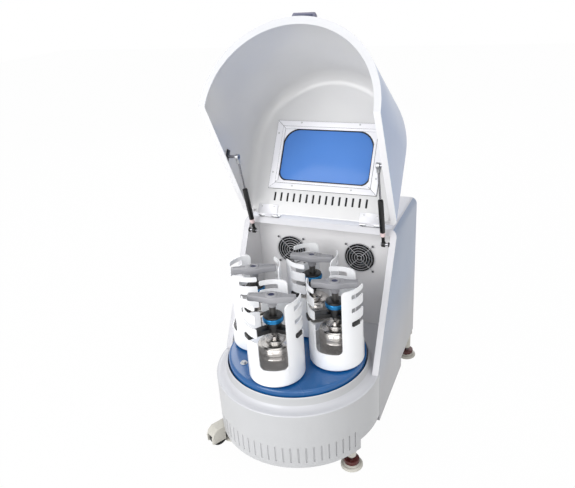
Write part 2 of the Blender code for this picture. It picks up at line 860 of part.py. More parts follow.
vents = []
for index in range(vent_count):
    centre = vent_pitch * (index - (vent_count - 1) / 2)
    vents.append(box((centre - vent_width / 2, vent_front, top_inner - overrun),
                     (centre + vent_width / 2, vent_back, hood_top + overrun)))
openings = together([prism(window_outline(0.0), top_inner - overrun, hood_top + overrun)] + vents)
hood = cut(hood, openings)
stud_tip = strut_x + strut_eye_half + clearance
stud_root = body_radius - hood_sheet / 2
for side in (-1, 1):
    stud = along_x(disc(strut_pin_radius, stud_tip, stud_root, pin_facets))
    stud = shifted(stud, 0, strut_head_y, strut_head_z)
    stud_plate = box((body_radius - hood_sheet - stud_plate_thick, strut_head_y - stud_plate_length / 2,
                      strut_head_z - stud_plate_width / 2),
                     (stud_root, strut_head_y + stud_plate_length / 2, strut_head_z + stud_plate_width / 2))
    fitting = united(stud_plate, stud)
    if side < 0:
        fitting = moved(fitting, Matrix.Scale(-1, 4, (1, 0, 0)))
    hood = united(hood, fitting)
place('hood_shell', moved(hood, swing), hood_paint, hinge_origin)

# Window frame under the hood's top, and the pane bedded in the opening
frame_high = top_inner - clearance
outer_frame = [(-frame_half, -frame_front), (frame_half, -frame_front),
               (frame_half, frame_back), (-frame_half, frame_back)]
inner_half_x = window_half - pane_bed
inner_frame = [(-inner_half_x, -window_front + pane_bed), (inner_half_x, -window_front + pane_bed),
               (inner_half_x, window_back - pane_bed / 2), (-inner_half_x, window_back - pane_bed / 2)]
step_frame = [(x + math.copysign(frame_step_width, x), y + math.copysign(frame_step_width, y))
              for x, y in inner_frame]
frame_low = frame_high - frame_thick
trim_frame = prism(outer_frame, frame_low, frame_high)
trim_frame = united(trim_frame, prism(step_frame, frame_low - frame_step, frame_high - frame_thick / 2))
trim_frame = cut(trim_frame, prism(inner_frame, frame_low - overrun, frame_high + overrun))
place('window_frame', moved(trim_frame, swing), frame_paint, hinge_origin)
pane = prism(window_outline(-clearance), top_inner, top_inner + pane_thick)
place('window_pane', moved(pane, swing), pane_glass, hinge_origin)

# Grip on the hood's front edge
grip_radius = body_radius + clearance
grip_inner = []
left_angle = -math.pi / 2 - math.asin(handle_left / grip_radius)
right_angle = -math.pi / 2 + math.asin(handle_right / grip_radius)
inner_angles = [angle for angle in bow_angles(hood_facets) if left_angle < angle < right_angle]
inner_angles = [left_angle] + inner_angles + [right_angle]
for angle in inner_angles:
    grip_inner.append((grip_radius * math.cos(angle), grip_radius * math.sin(angle)))
grip_outer_y = -(body_radius + handle_out)
grip_outline = grip_inner + [(handle_right - handle_foot / 2, grip_outer_y),
                             (-handle_left + handle_foot / 2, grip_outer_y)]
grip = prism(grip_outline, handle_low, handle_high)
finger_gap = box((-handle_left + handle_foot, grip_outer_y + handle_bar, handle_low - overrun),
                 (handle_right - handle_foot, -body_radius / 2, handle_high + overrun))
grip = cut(grip, finger_gap)
place('hood_handle', moved(grip, swing), handle_grey, hinge_origin)

# Hinges: the fixed leaf lies on the casing, the other runs down the gap and under the hood's top
leaf_low = housing_top + clearance
leaf_high = leaf_low + leaf_thick
barrel_bottom = hinge_z - knuckle_radius
curl_y = leaf_front_y + leaf_thick
fixed_profile = [(leaf_front_y, leaf_low), (leaf_front_y + leaf_length, leaf_low),
                 (leaf_front_y + leaf_length, leaf_high), (curl_y + leaf_thick, leaf_high),
                 (curl_y, hinge_z - leaf_thick / 2), (leaf_front_y, hinge_z - leaf_thick / 2)]
leaf_middle = (leaf_inner_x + leaf_outer_x) / 2
knuckle_facets = 8
hollow_pin = hole_radius(hinge_pin_radius, clearance, knuckle_facets)


def on_axis(mesh):
    return shifted(mesh, 0, hinge_y, hinge_z)


fixed_leaf = along_x(prism(fixed_profile, leaf_inner_x, leaf_outer_x))
fixed_leaf = united(fixed_leaf, on_axis(along_x(disc(knuckle_radius, leaf_inner_x, leaf_outer_x, knuckle_facets))))
middle_cut = box((leaf_middle - knuckle_half - clearance, hinge_y - knuckle_radius - overrun, leaf_high),
                 (leaf_middle + knuckle_half + clearance, curl_y + leaf_thick + overrun, hinge_z + overrun))
fixed_leaf = cut(fixed_leaf, middle_cut)
fixed_leaf = united(fixed_leaf, on_axis(along_x(disc(hinge_pin_radius, leaf_inner_x + knuckle_radius,
                                                     leaf_outer_x - knuckle_radius, knuckle_facets))))
gap_middle = (hood_line + deck_top + clearance) / 2
leaf_rise = hood_leaf_thick * slope_stretch / 2
front_line = gap_middle + leaf_rise
rear_line = gap_middle - leaf_rise
tab_low = top_inner - clearance - hood_leaf_thick
tab_high = top_inner - clearance
leg_top = barrel_bottom - running_gap
leg_rear = hinge_y + knuckle_radius / 8
hood_leaf_profile = [(hood_back - leaf_reach, tab_low), (hood_back - leaf_reach, tab_high),
                     ((tab_high - front_line) / slope, tab_high), ((leg_top - front_line) / slope, leg_top),
                     (leg_rear, leg_top), (leg_rear, rear_line + slope * leg_rear),
                     ((tab_low - rear_line) / slope, tab_low)]
hood_leaf = along_x(prism(hood_leaf_profile, leaf_inner_x, leaf_outer_x))
riser = box((leaf_middle - knuckle_half, (leg_top - front_line) / slope, leg_top - leaf_thick / 2),
            (leaf_middle + knuckle_half, leg_rear, hinge_z))
barrel = on_axis(along_x(disc(knuckle_radius, leaf_middle - knuckle_half, leaf_middle + knuckle_half,
                              knuckle_facets)))
hood_leaf = united(hood_leaf, united(riser, barrel))
hood_leaf = cut(hood_leaf, on_axis(along_x(disc(hollow_pin, leaf_inner_x - overrun, leaf_outer_x + overrun,
                                                knuckle_facets))))
for side, word in ((-1, 'left'), (1, 'right')):
    mirror = Matrix.Scale(side, 4, (1, 0, 0))
    place('hinge_%s_fixed_leaf' % word, moved(fixed_leaf, mirror), zinc, hinge_origin)
    place('hinge_%s_hood_leaf' % word, moved(moved(hood_leaf, mirror), swing), zinc, hinge_origin)

# Gas struts, drawn along their own axis and then laid between their two studs
head_now = swing @ Vector((strut_x, strut_head_y, strut_head_z))
foot_now = Vector((strut_x, strut_foot_y, strut_foot_z))
reach_open = (head_now - foot_now).length
reach_closed = math.hypot(strut_head_y - strut_foot_y, strut_head_z - strut_foot_z)
stroke = reach_open - reach_closed
strut_lean = math.atan2(head_now.y - foot_now.y, head_now.z - foot_now.z)
strut_facets = 12
eye = along_x(disc(strut_eye_radius, -strut_eye_half, strut_eye_half, strut_facets))
rod_tip = strut_tube_end - strut_rod_hold
bore_low = rod_tip - stroke - strut_bore_spare
tube = turned([(0, 0), (strut_neck_radius, 0), (strut_neck_radius, strut_collar_start),
               (strut_collar_radius, strut_collar_start), (strut_collar_radius, strut_collar_end),
               (strut_tube_radius, strut_collar_end), (strut_tube_radius, strut_tube_end),
               (0, strut_tube_end)], strut_facets)
tube = united(tube, eye)
tube = cut(tube, along_x(disc(hole_radius(strut_pin_radius, clearance, pin_facets), -wide, wide, pin_facets)),
           disc(hole_radius(strut_rod_radius, clearance, strut_facets), bore_low,
                strut_tube_end + overrun, strut_facets))
rod = disc(strut_rod_radius, rod_tip, reach_open, strut_facets)
rod = united(rod, shifted(eye, 0, 0, reach_open))
for side, word in ((-1, 'left'), (1, 'right')):
    lay = (Matrix.Translation((side * strut_x, strut_foot_y, strut_foot_z))
           @ Matrix.Rotation(-strut_lean, 4, 'X'))
    foot_origin = (side * strut_x, strut_foot_y, strut_foot_z)
    place('strut_%s_cylinder' % word, moved(tube, lay), black_paint, foot_origin)
    place('strut_%s_rod' % word, moved(rod, lay), steel, foot_origin)

# Disc with its bosses and hub
under = disc_top - disc_thick
disc_facets = 36
profile = [(0, under), (disc_radius - disc_rim, under), (disc_radius - disc_rim, disc_low),
           (disc_radius, disc_low)]
for step in range(3):
    angle = math.radians(45 * step)
    profile.append((disc_radius - disc_round * (1 - math.cos(angle)),
                    disc_top - disc_round * (1 - math.sin(angle))))
profile.append((0, disc_top))
plate_disc = turned(profile, disc_facets)
round_facets = 12
plate_disc = united(plate_disc, disc(hub_radius, boss_low, under + disc_thick / 2, round_facets))
stations = []
for angle in station_angles:
    spot = math.radians(angle)
    stations.append((orbit_radius * math.cos(spot), orbit_radius * math.sin(spot)))
for x, y in stations:
    plate_disc = united(plate_disc, shifted(disc(boss_radius, boss_low, under + disc_thick / 2, round_facets), x, y))
bores = [shifted(disc(hole_radius(cup_shaft_radius, clearance, round_facets), boss_low - overrun,
                      disc_top + overrun, round_facets), x, y) for x, y in stations]
hub_depth = disc_top - disc_thick / 3
bores.append(disc(hole_radius(shaft_radius, clearance, round_facets), boss_low - overrun, hub_depth,
                  round_facets))
plate_disc = cut(plate_disc, together(bores))
place('sun_disc', plate_disc, disc_paint)

# Main shaft and pulleys
shaft_top = hub_depth - clearance
pulley_high = pulley_low + pulley_height


def pulley(rim, groove, core, core_top, count):
    slant = rim - groove
    return turned([(0, pulley_low), (rim, pulley_low), (rim, pulley_low + pulley_flange),
                   (groove, pulley_low + pulley_flange + slant / 6),
                   (groove, pulley_high - pulley_flange - slant / 6),
                   (rim, pulley_high - pulley_flange), (rim, pulley_high), (core, pulley_high),
                   (core, core_top - shaft_nose), (core - shaft_nose / 2, core_top), (0, core_top)], count)


pulley_facets = 20
place('main_shaft', pulley(pulley_radius, groove_radius, shaft_radius, shaft_top, pulley_facets), steel)
motor_spindle_top = plate_top + motor_shaft_reach
motor_wheel = pulley(motor_pulley_radius, motor_groove_radius, motor_shaft_radius, motor_spindle_top,
                     pulley_facets)
place('motor_pulley', shifted(motor_wheel, 0, motor_y), steel, (0, motor_y, 0))

lean = math.asin((groove_radius - motor_groove_radius) / motor_y)
wrap_steps = 12


def belt_outline(grow):
    points = []
    stretch = 1 / math.cos(math.pi / pulley_facets / 2)
    for centre, radius, start, end in (((0, 0), groove_radius, math.pi - lean, math.tau + lean),
                                       ((0, motor_y), motor_groove_radius, lean, math.pi - lean)):
        for step in range(wrap_steps + 1):
            angle = start + (end - start) * step / wrap_steps
            reach = (radius + grow) / math.cos((end - start) / wrap_steps / 2)
            points.append((centre[0] + reach * math.cos(angle), centre[1] + reach * math.sin(angle)))
    return points


belt_low = pulley_low + pulley_flange + (pulley_radius - groove_radius) / 6 + clearance * 2
belt_high = pulley_high - pulley_flange - (pulley_radius - groove_radius) / 6 - clearance * 2
belt = prism(belt_outline(clearance + belt_thick), belt_low, belt_high)
belt = cut(belt, prism(belt_outline(clearance), belt_low - overrun, belt_high + overrun))
place('drive_belt', belt, rubber)

# Motor, hanging shaft down into the belt bay
motor_base = plate_top + clearance
motor_top = motor_base + motor_height
motor = turned([(0, motor_base), (motor_radius, motor_base),
                (motor_radius, motor_top - motor_round), (motor_radius - motor_round, motor_top),
                (0, motor_top)], 24)
fins = []
for index in range(motor_fin_count):
    fin = box((motor_radius - motor_fin_depth, -motor_fin_width / 2, motor_base + motor_round),
              (motor_radius + overrun, motor_fin_width / 2, motor_top - motor_round))
    fins.append(spun(fin, 360.0 * index / motor_fin_count))
motor = cut(motor, together(fins))
motor = cut(motor, disc(hole_radius(motor_shaft_radius, clearance, round_facets), motor_base - overrun,
                        motor_spindle_top + clearance, round_facets))
place('motor', shifted(motor, 0, motor_y), grey_paint, (0, motor_y, 0))

# Gears: flat-flanked teeth on the pitch circles that the orbit sets
module = orbit_radius * 2 / (sun_teeth + planet_teeth)


def gear_outline(teeth, phase):
    pitch = teeth * module / 2
    outer = pitch + addendum_share * module
    inner = pitch - dedendum_share * module
    half_pitch = (math.pi * module / 2 - tooth_play) / 2
    points = []
    for index in range(teeth):
        centre = phase + math.tau * index / teeth
        for radius, sign in ((inner, -1), (outer, -1), (outer, 1), (inner, 1)):
            half = half_pitch - (radius - pitch) * flank_share
            angle = centre + sign * half / radius
            points.append((radius * math.cos(angle), radius * math.sin(angle)))
    return points


gear_high = gear_low + gear_height
bearing = turned([(0, motor_base), (bearing_flange_radius, motor_base),
                  (bearing_flange_radius, motor_base + bearing_flange_thick),
                  (bearing_radius, motor_base + bearing_flange_thick),
                  (bearing_radius, gear_high - clearance), (0, gear_high - clearance)], 24)
sun_phase = math.radians(station_angles[0])
bearing = united(bearing, prism(gear_outline(sun_teeth, sun_phase), gear_low, gear_high))
bearing = cut(bearing, disc(hole_radius(shaft_radius, clearance, pulley_facets), motor_base - overrun,
                            gear_high + overrun, pulley_facets))
place('bearing_housing', bearing, steel)

# One cup, with its windows and posts, then a gear in phase for each station
post_half = math.sin(math.radians(30.0)) * cup_radius
cup = turned([(0, cup_low), (cup_radius - cup_foot_round, cup_low), (cup_radius, cup_low + cup_foot_round),
              (cup_radius, cup_top), (cup_radius - cup_wall, cup_top),
              (cup_radius - cup_wall, cup_low + cup_floor), (0, cup_low + cup_floor)], cup_facets,
             math.radians(0.0))


def window_cutter():
    lower = rounded_outline([(-post_half, cup_top, 0), (-post_half, cup_window_low, cup_window_round),
                             (post_half, cup_window_low, cup_window_round), (post_half, cup_top, 0)], 2)
    flare = []
    for step in range(3):
        angle = math.radians(45.0 * step)
        flare.append((post_half + cup_post_round * (1 - math.cos(angle)),
                      cup_top - cup_post_round * (1 - math.sin(angle))))
    over = cup_top + overrun
    outline = [(-x, z) for x, z in reversed(flare)]
    outline += [(x, z) for x, z in lower if z < cup_top - weld]
    outline += flare
    outline += [(post_half + cup_post_round, over), (-post_half - cup_post_round, over)]
    return along_x(prism(outline, cup_radius / 2, cup_radius + overrun))


def slot_cutter(height):
    start = cup_radius * math.sin(math.radians((slot_end - slot_start) / 2))
    half = cup_slot_height / 2
    past = start + cup_slot_past
    outline = [(-start, height - half), (past, height - half), (past, height + half), (-start, height + half)]
    return spun(along_x(prism(outline, cup_radius / 2, cup_radius + overrun)), (slot_start + slot_end) / 2)


window = window_cutter()
cup = cut(cup, together([spun(window, 120.0 * index) for index in range(3)]))
for height in cup_slot_heights:
    slot = slot_cutter(height)
    cup = cut(cup, together([spun(slot, 120.0 * index) for index in range(3)]))
cup_shaft = disc(cup_shaft_radius, gear_low, cup_low + cup_floor / 2, round_facets)
cup = united(cup, cup_shaft)

jar_facets = 16
jar_base = cup_low + cup_floor + clearance
jar = turned([(0, jar_base), (jar_radius - jar_edge, jar_base), (jar_radius, jar_base + jar_edge),
              (jar_radius, jar_seam), (jar_radius + jar_seam_out, jar_seam),
              (jar_radius + jar_seam_out, jar_seam + jar_seam_height), (jar_radius, jar_shoulder),
              (jar_waist_radius, jar_shoulder + jar_edge * 2),
              (jar_dome_radius, jar_dome), (0, jar_dome)], jar_facets)
loop = box((-loop_half, -loop_depth / 2, jar_dome - jar_edge), (loop_half, loop_depth / 2, loop_top))
loop_eye = box((-loop_half + loop_bar, -loop_depth, jar_dome + jar_edge),
               (loop_half - loop_bar, loop_depth, loop_top - loop_bar / 2))
jar = united(jar, cut(loop, loop_eye))

spindle_facets = 12
spindle_hole = hole_radius(spindle_radius, clearance, spindle_facets)
yoke_low = cup_slot_heights[0] - yoke_height / 2
yoke = disc(yoke_hub_radius, yoke_low, yoke_hub_top, spindle_facets)
for index in range(3):
    arm = box((0, -yoke_arm_width / 2, yoke_low), (yoke_reach, yoke_arm_width / 2, yoke_low + yoke_height))
    yoke = united(yoke, spun(arm, arm_angle + 120.0 * index))
yoke = cut(yoke, disc(spindle_hole, yoke_low - overrun, yoke_hub_top + overrun, spindle_facets))

nut_high = nut_low + nut_height
nut = turned([(spindle_hole, nut_low), (nut_radius, nut_low), (nut_radius, nut_low + nut_height / 2),
              (nut_waist, nut_low + nut_height / 2), (nut_waist, nut_high), (spindle_hole, nut_high)],
             spindle_facets)

# The handle has two wings that narrow outwards
star_half_outline = [(star_reach, -star_tip_half), (star_reach, star_tip_half), (star_waist, star_root_half),
                     (0, star_waist), (-star_waist, star_root_half)]
star_outline = star_half_outline + [(-x, -y) for x, y in star_half_outline]
star = prism(star_outline, star_low, star_low + star_height)
star = united(star, disc(star_hub_radius, star_low - jar_edge, star_hub_top, spindle_facets),
              disc(spindle_radius, loop_top + clearance, star_low + star_height / 2, spindle_facets))

for index, (x, y) in enumerate(stations):
    number = index + 1
    turn = window_angles[index]
    mesh_phase = math.radians(station_angles[index] + 180.0 - turn) + math.pi / planet_teeth
    gear = prism(gear_outline(planet_teeth, mesh_phase), gear_low, gear_high)
    full_cup = shifted(spun(united(cup, gear), turn), x, y)
    place('planet_cup_%d' % number, full_cup, cup_paint, (x, y, 0), turn)
    place('grinding_jar_%d' % number, shifted(spun(jar, turn), x, y), steel, (x, y, 0), turn)
    place('press_yoke_%d' % number, shifted(spun(yoke, turn), x, y), black_paint, (x, y, 0), turn)
    place('lock_nut_%d' % number, shifted(nut, x, y), nut_blue, (x, y, 0))
    place('handle_screw_%d' % number, shifted(spun(star, handle_angles[index]), x, y), grey_paint,
          (x, y, 0), handle_angles[index])

# Levelling casters: the wheel trails beside a screw-down foot
housing_high = plate_low - clearance
sleeve_hole = hole_radius(foot_stem_radius, clearance, spindle_facets)
axle_z = wheel_lift + wheel_radius
bonnet_z = axle_z + caster_arch + caster_bonnet
cheek_profile = [(-caster_cheek_front, caster_cheek_low), (-caster_offset - caster_back, caster_cheek_low),
                 (-caster_offset - caster_back, axle_z + caster_arch / 2),
                 (-caster_offset - caster_back / 3, bonnet_z),
                 (0, bonnet_z),
                 (0, caster_sleeve_low + caster_plate_thick), (-caster_cheek_front, caster_sleeve_low + caster_plate_thick)]
caster_body = along_x(prism(cheek_profile, -caster_cheek_half, caster_cheek_half))
caster_body = united(caster_body, disc(caster_plate_radius, housing_high - caster_plate_thick, housing_high, spindle_facets),
                     disc(caster_sleeve_radius, caster_sleeve_low, housing_high - caster_plate_thick / 2, spindle_facets))
pocket_arch = along_x(disc(caster_arch, -caster_pocket_half, caster_pocket_half, spindle_facets))
pocket_arch = shifted(pocket_arch, 0, -caster_offset, axle_z)
pocket_mouth = box((-caster_pocket_half, -caster_offset - caster_back - overrun, caster_cheek_low - overrun),
                   (caster_pocket_half, -caster_offset + caster_arch, axle_z))
pocket_rear = box((-caster_pocket_half, -caster_offset - caster_back - overrun, caster_cheek_low - overrun),
                  (caster_pocket_half, -caster_offset, axle_z + caster_arch * 0.7))
caster_body = cut(caster_body, united(pocket_arch, pocket_mouth, pocket_rear),
                  disc(sleeve_hole, caster_sleeve_low - overrun, foot_stem_top + caster_plate_thick, spindle_facets))
axle = shifted(along_x(disc(axle_radius, -caster_cheek_half + axle_radius, caster_cheek_half - axle_radius, 8)),
               0, -caster_offset, axle_z)
caster_body = united(caster_body, axle)

wheel_facets = 14
wheel_hole = hole_radius(axle_radius, clearance, wheel_facets)
wheel = turned([(wheel_hole, -wheel_half), (wheel_radius - wheel_round, -wheel_half),
                (wheel_radius, -wheel_half + wheel_round), (wheel_radius, wheel_half - wheel_round),
                (wheel_radius - wheel_round, wheel_half), (wheel_hole, wheel_half)], wheel_facets)
wheel = along_x(wheel)

foot = turned([(0, 0), (foot_radius, 0), (foot_radius, foot_edge), (foot_shoulder_radius, foot_shoulder),
               (foot_stem_radius, foot_shoulder), (foot_stem_radius, thumb_low), (thumb_radius, thumb_low),
               (thumb_radius, thumb_low + thumb_height), (foot_stem_radius, thumb_low + thumb_height),
               (foot_stem_radius, foot_stem_top), (0, foot_stem_top)], round_facets)

caster_spots = (('fl', -front_caster_x, front_caster_y), ('fr', front_caster_x, front_caster_y),
                ('rl', -rear_caster_x, rear_caster_y), ('rr', rear_caster_x, rear_caster_y))
for (word, x, y), angle in zip(caster_spots, caster_angles):
    turn = angle + 90.0
    axle_spot = (x + caster_offset * math.cos(math.radians(angle)),
                 y + caster_offset * math.sin(math.radians(angle)))
    place('caster_%s_housing' % word, shifted(spun(caster_body, turn), x, y), caster_cream, (x, y, 0), turn)
    place('caster_%s_wheel' % word, shifted(spun(wheel, turn), axle_spot[0], axle_spot[1], axle_z), rubber,
          (axle_spot[0], axle_spot[1], axle_z), turn)
    place('caster_%s_foot' % word, shifted(foot, x, y), caster_cream, (x, y, 0))
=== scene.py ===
import json
import math

import bmesh
import bpy
from mathutils import Matrix, Vector

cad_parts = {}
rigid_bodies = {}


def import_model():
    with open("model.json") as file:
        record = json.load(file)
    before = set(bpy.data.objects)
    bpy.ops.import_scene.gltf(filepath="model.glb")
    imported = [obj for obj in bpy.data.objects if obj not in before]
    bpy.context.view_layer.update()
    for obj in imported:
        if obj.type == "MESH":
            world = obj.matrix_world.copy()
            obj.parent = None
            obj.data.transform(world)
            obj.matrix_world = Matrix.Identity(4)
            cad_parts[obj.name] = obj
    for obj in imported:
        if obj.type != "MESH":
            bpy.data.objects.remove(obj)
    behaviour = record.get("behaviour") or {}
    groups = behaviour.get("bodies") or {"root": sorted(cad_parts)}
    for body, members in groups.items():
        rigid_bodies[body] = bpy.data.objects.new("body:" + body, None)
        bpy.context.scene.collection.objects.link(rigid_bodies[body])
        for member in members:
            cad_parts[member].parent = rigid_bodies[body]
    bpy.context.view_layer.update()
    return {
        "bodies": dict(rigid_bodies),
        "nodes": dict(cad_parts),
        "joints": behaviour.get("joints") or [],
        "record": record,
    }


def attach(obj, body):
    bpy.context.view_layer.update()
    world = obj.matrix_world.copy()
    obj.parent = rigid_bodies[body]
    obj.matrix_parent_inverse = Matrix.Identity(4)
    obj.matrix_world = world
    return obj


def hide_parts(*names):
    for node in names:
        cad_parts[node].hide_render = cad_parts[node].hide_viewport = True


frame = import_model()
nodes = frame["nodes"]
print("stage: frame loaded")

# Everything below is drawn in millimetres on the disc's axis, and goes into the frame with toFrame
mill = {
    "millimetre": 0.001,
    "axisY": -126.5,
    "hingeY": 204.5,
    "hingeZ": 597.1,
    "openAngle": 122.0,
    "weld": 0.0005,
    "reach": 245.0,  # half the width of a cutter that passes both sides
}
toFrame = Matrix.Scale(mill["millimetre"], 4) @ Matrix.Translation((0, mill["axisY"], 0))
hinge = Matrix.Translation((0, mill["hingeY"], mill["hingeZ"]))
swing = hinge @ Matrix.Rotation(math.radians(-mill["openAngle"]), 4, "X") @ hinge.inverted()
still = Matrix.Identity(4)
faceDown = Matrix.Rotation(math.pi, 4, "X")
faceFront = Matrix.Rotation(math.pi / 2, 4, "X")
faceBack = Matrix.Rotation(-math.pi / 2, 4, "X")
sides = (("left", -1), ("right", 1))


def values(settings, names):
    return [settings[name] for name in names.split()]


# Forms are bmeshes; each function hands its form on
def welded(form, share=1):
    bmesh.ops.remove_doubles(form, verts=form.verts[:], dist=mill["weld"] * share)
    return form


def outwards(form):
    bmesh.ops.recalc_face_normals(form, faces=form.faces[:])
    return form


def lathe(profile, steps, closed=False):
    form = bmesh.new()
    ring = [form.verts.new((radius, 0, height)) for radius, height in profile]
    pairs = list(zip(ring, ring[1:]))
    if closed:
        pairs.append((ring[-1], ring[0]))
    edges = [form.edges.new(pair) for pair in pairs]
    bmesh.ops.spin(form, geom=ring + edges, cent=(0, 0, 0), axis=(0, 0, 1),
                   angle=math.tau, steps=steps, use_merge=True)
    return outwards(welded(form))


def plate(outline, low, high):
    form = bmesh.new()
    face = form.faces.new([form.verts.new((x, y, low)) for x, y in outline])
    lifted = bmesh.ops.extrude_face_region(form, geom=[face])
    corners = [part for part in lifted["geom"] if isinstance(part, bmesh.types.BMVert)]
    bmesh.ops.translate(form, verts=corners, vec=(0, 0, high - low))
    return outwards(form)


def block(low, high):
    form = bmesh.new()
    bmesh.ops.create_cube(form, size=1.0)
    bmesh.ops.scale(form, vec=[high[i] - low[i] for i in range(3)], verts=form.verts[:])
    bmesh.ops.translate(form, vec=[(high[i] + low[i]) / 2 for i in range(3)], verts=form.verts[:])
    return form


def rodForm(radius, low, high, steps):
    return lathe([(0, low), (radius, low), (radius, high), (0, high)], steps)


def lofted(rings):
    form = bmesh.new()
    loops = [[form.verts.new(spot) for spot in ring] for ring in rings]
    for lower, upper in zip(loops, loops[1:]):
        for index in range(len(lower)):
            after = (index + 1) % len(lower)
            form.faces.new((lower[index], lower[after], upper[after], upper[index]))
    form.faces.new(loops[0][::-1])
    form.faces.new(loops[-1])
    return outwards(form)


def laid(form, matrix):
    bmesh.ops.transform(form, matrix=matrix, verts=form.verts[:])
    if matrix.determinant() < 0:
        bmesh.ops.reverse_faces(form, faces=form.faces[:])
    return form


def moved(form, x=0.0, y=0.0, z=0.0):
    return laid(form, Matrix.Translation((x, y, z)))


def turned(form, degrees, axis="Z"):
    return laid(form, Matrix.Rotation(math.radians(degrees), 4, axis))


def alongX(form):
    return laid(form, Matrix(((0, 0, 1, 0), (1, 0, 0, 0), (0, 1, 0, 0), (0, 0, 0, 1))))


def alongY(form):
    return laid(form, Matrix(((1, 0, 0, 0), (0, 0, -1, 0), (0, 1, 0, 0), (0, 0, 0, 1))))


def bothSides(make):
    return [make(), laid(make(), Matrix.Scale(-1, 4, (1, 0, 0)))]


def crossRods(radius, low, high, y, z):
    # a rod along X on each side
    return bothSides(lambda: moved(alongX(rodForm(radius, low, high, 24)), 0, y, z))


def placed(name, data):
    thing = bpy.data.objects.new(name, data)
    bpy.context.scene.collection.objects.link(thing)
    return thing


def asMesh(form, name="form"):
    mesh = bpy.data.meshes.new(name)
    form.to_mesh(mesh)
    form.free()
    return mesh


def gathered(forms):
    whole = bmesh.new()
    for form in forms:
        whole.from_mesh(asMesh(form))
    return whole


def softened(form, width, segments=2, angle=35.0, clamp=True, where=None):
    sharp = []
    for edge in form.edges:
        if len(edge.link_faces) != 2 or edge.calc_face_angle(0.0) < math.radians(angle):
            continue
        if where is None or where(edge):
            sharp.append(edge)
    bmesh.ops.bevel(form, geom=sharp, offset=width, offset_type="OFFSET", segments=segments,
                    profile=0.5, affect="EDGES", material=-1, clamp_overlap=clamp)
    return form


def edgeRun(edge):
    return [abs(near - far) for near, far in zip(edge.verts[0].co, edge.verts[1].co)]


def carved(form, *tools, operation="DIFFERENCE"):
    for tool in tools:
        pair = []
        for shape in (form, tool):
            pair.append(placed("carving", asMesh(shape)))
        boolean = pair[0].modifiers.new("carve", "BOOLEAN")
        boolean.operation = operation
        boolean.solver = "EXACT"
        boolean.object = pair[1]
        graph = bpy.context.evaluated_depsgraph_get()
        mesh = bpy.data.meshes.new_from_object(pair[0].evaluated_get(graph))
        for holder in pair:
            bpy.data.objects.remove(holder, do_unlink=True)
        form = bmesh.new()
        form.from_mesh(mesh)
        welded(form)
    return form


def merged(form, *tools):
    return carved(form, *tools, operation="UNION")


def inks(form, index, test=None):
    # gives the faces that pass the test the piece's finish of that number
    for face in form.faces:
        if test is None or test(face.calc_center_median(), face.normal):
            face.material_index = index
    return form


def finishPiece(name, form, body, looks, stands=(), lay=still, crease=35.0):
    laid(form, toFrame @ lay)
    form.normal_update()
    mesh = asMesh(form, name)
    for look in looks.split():
        mesh.materials.append(finishes[look])
    mesh.shade_smooth()
    mesh.set_sharp_from_angle(angle=math.radians(crease))
    piece = placed(name, mesh)
    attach(piece, body)
    if stands:
        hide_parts(*stands)
    return piece


def nodeForm(name):
    # a merged copy of a CAD node, back in millimetres on the disc's axis
    form = bmesh.new()
    form.from_mesh(nodes[name].data)
    welded(laid(form, toFrame.inverted()), 4)
    bmesh.ops.dissolve_limit(form, angle_limit=math.radians(0.2), verts=form.verts[:], edges=form.edges[:])
    return form


def dressNode(name, node, body, look, width, segments=1, angle=50.0):
    return finishPiece(name, softened(nodeForm(node), width, segments, angle), body, look, (node,))


def bowPoints(radius, back, steps, sideHalf=None):
    half = sideHalf or radius
    bow = []
    for i in range(steps + 1):
        angle = -math.pi + math.pi * i / steps
        bow.append((half * math.cos(angle), radius * math.sin(angle)))
    return [(-half, back)] + bow + [(half, back)]


def roundedBox(halfX, low, high, lowRound, highRound, steps=8):
    # outline of a rectangle from y low to y high, with its own rounding at each end
    corners = ((halfX - highRound, high - highRound, highRound, 0),
               (-halfX + highRound, high - highRound, highRound, 90),
               (-halfX + lowRound, low + lowRound, lowRound, 180),
               (halfX - lowRound, low + lowRound, lowRound, 270))
    outline = []
    for x, y, radius, start in corners:
        for i in range(steps + 1):
            angle = math.radians(start + 90.0 * i / steps)
            outline.append((x + radius * math.cos(angle), y + radius * math.sin(angle)))
    return outline


def boxOutline(half, front, back):
    return [(-half, front), (half, front), (half, back), (-half, back)]


# Finishes are node webs, in which a Wire stands for a node's output
def paint(red, green, blue):
    shares = [value / 255 for value in (red, green, blue)]
    return tuple(share / 12.92 if share <= 0.04045 else ((share + 0.055) / 1.055) ** 2.4 for share in shares)


class Wire:
    def __init__(self, web, socket):
        self.web = web
        self.socket = socket

    def worked(self, operation, other):
        return self.web.node("ShaderNodeMath", {"operation": operation}, {0: self, 1: other})

    def __add__(self, other):
        return self.worked("ADD", other)

    def __mul__(self, other):
        return self.worked("MULTIPLY", other)

    def spread(self, low, high, newLow=0.0, newHigh=1.0):
        return self.web.node("ShaderNodeMapRange", {"clamp": True},
                             {0: self, 1: low, 2: high, 3: newLow, 4: newHigh})


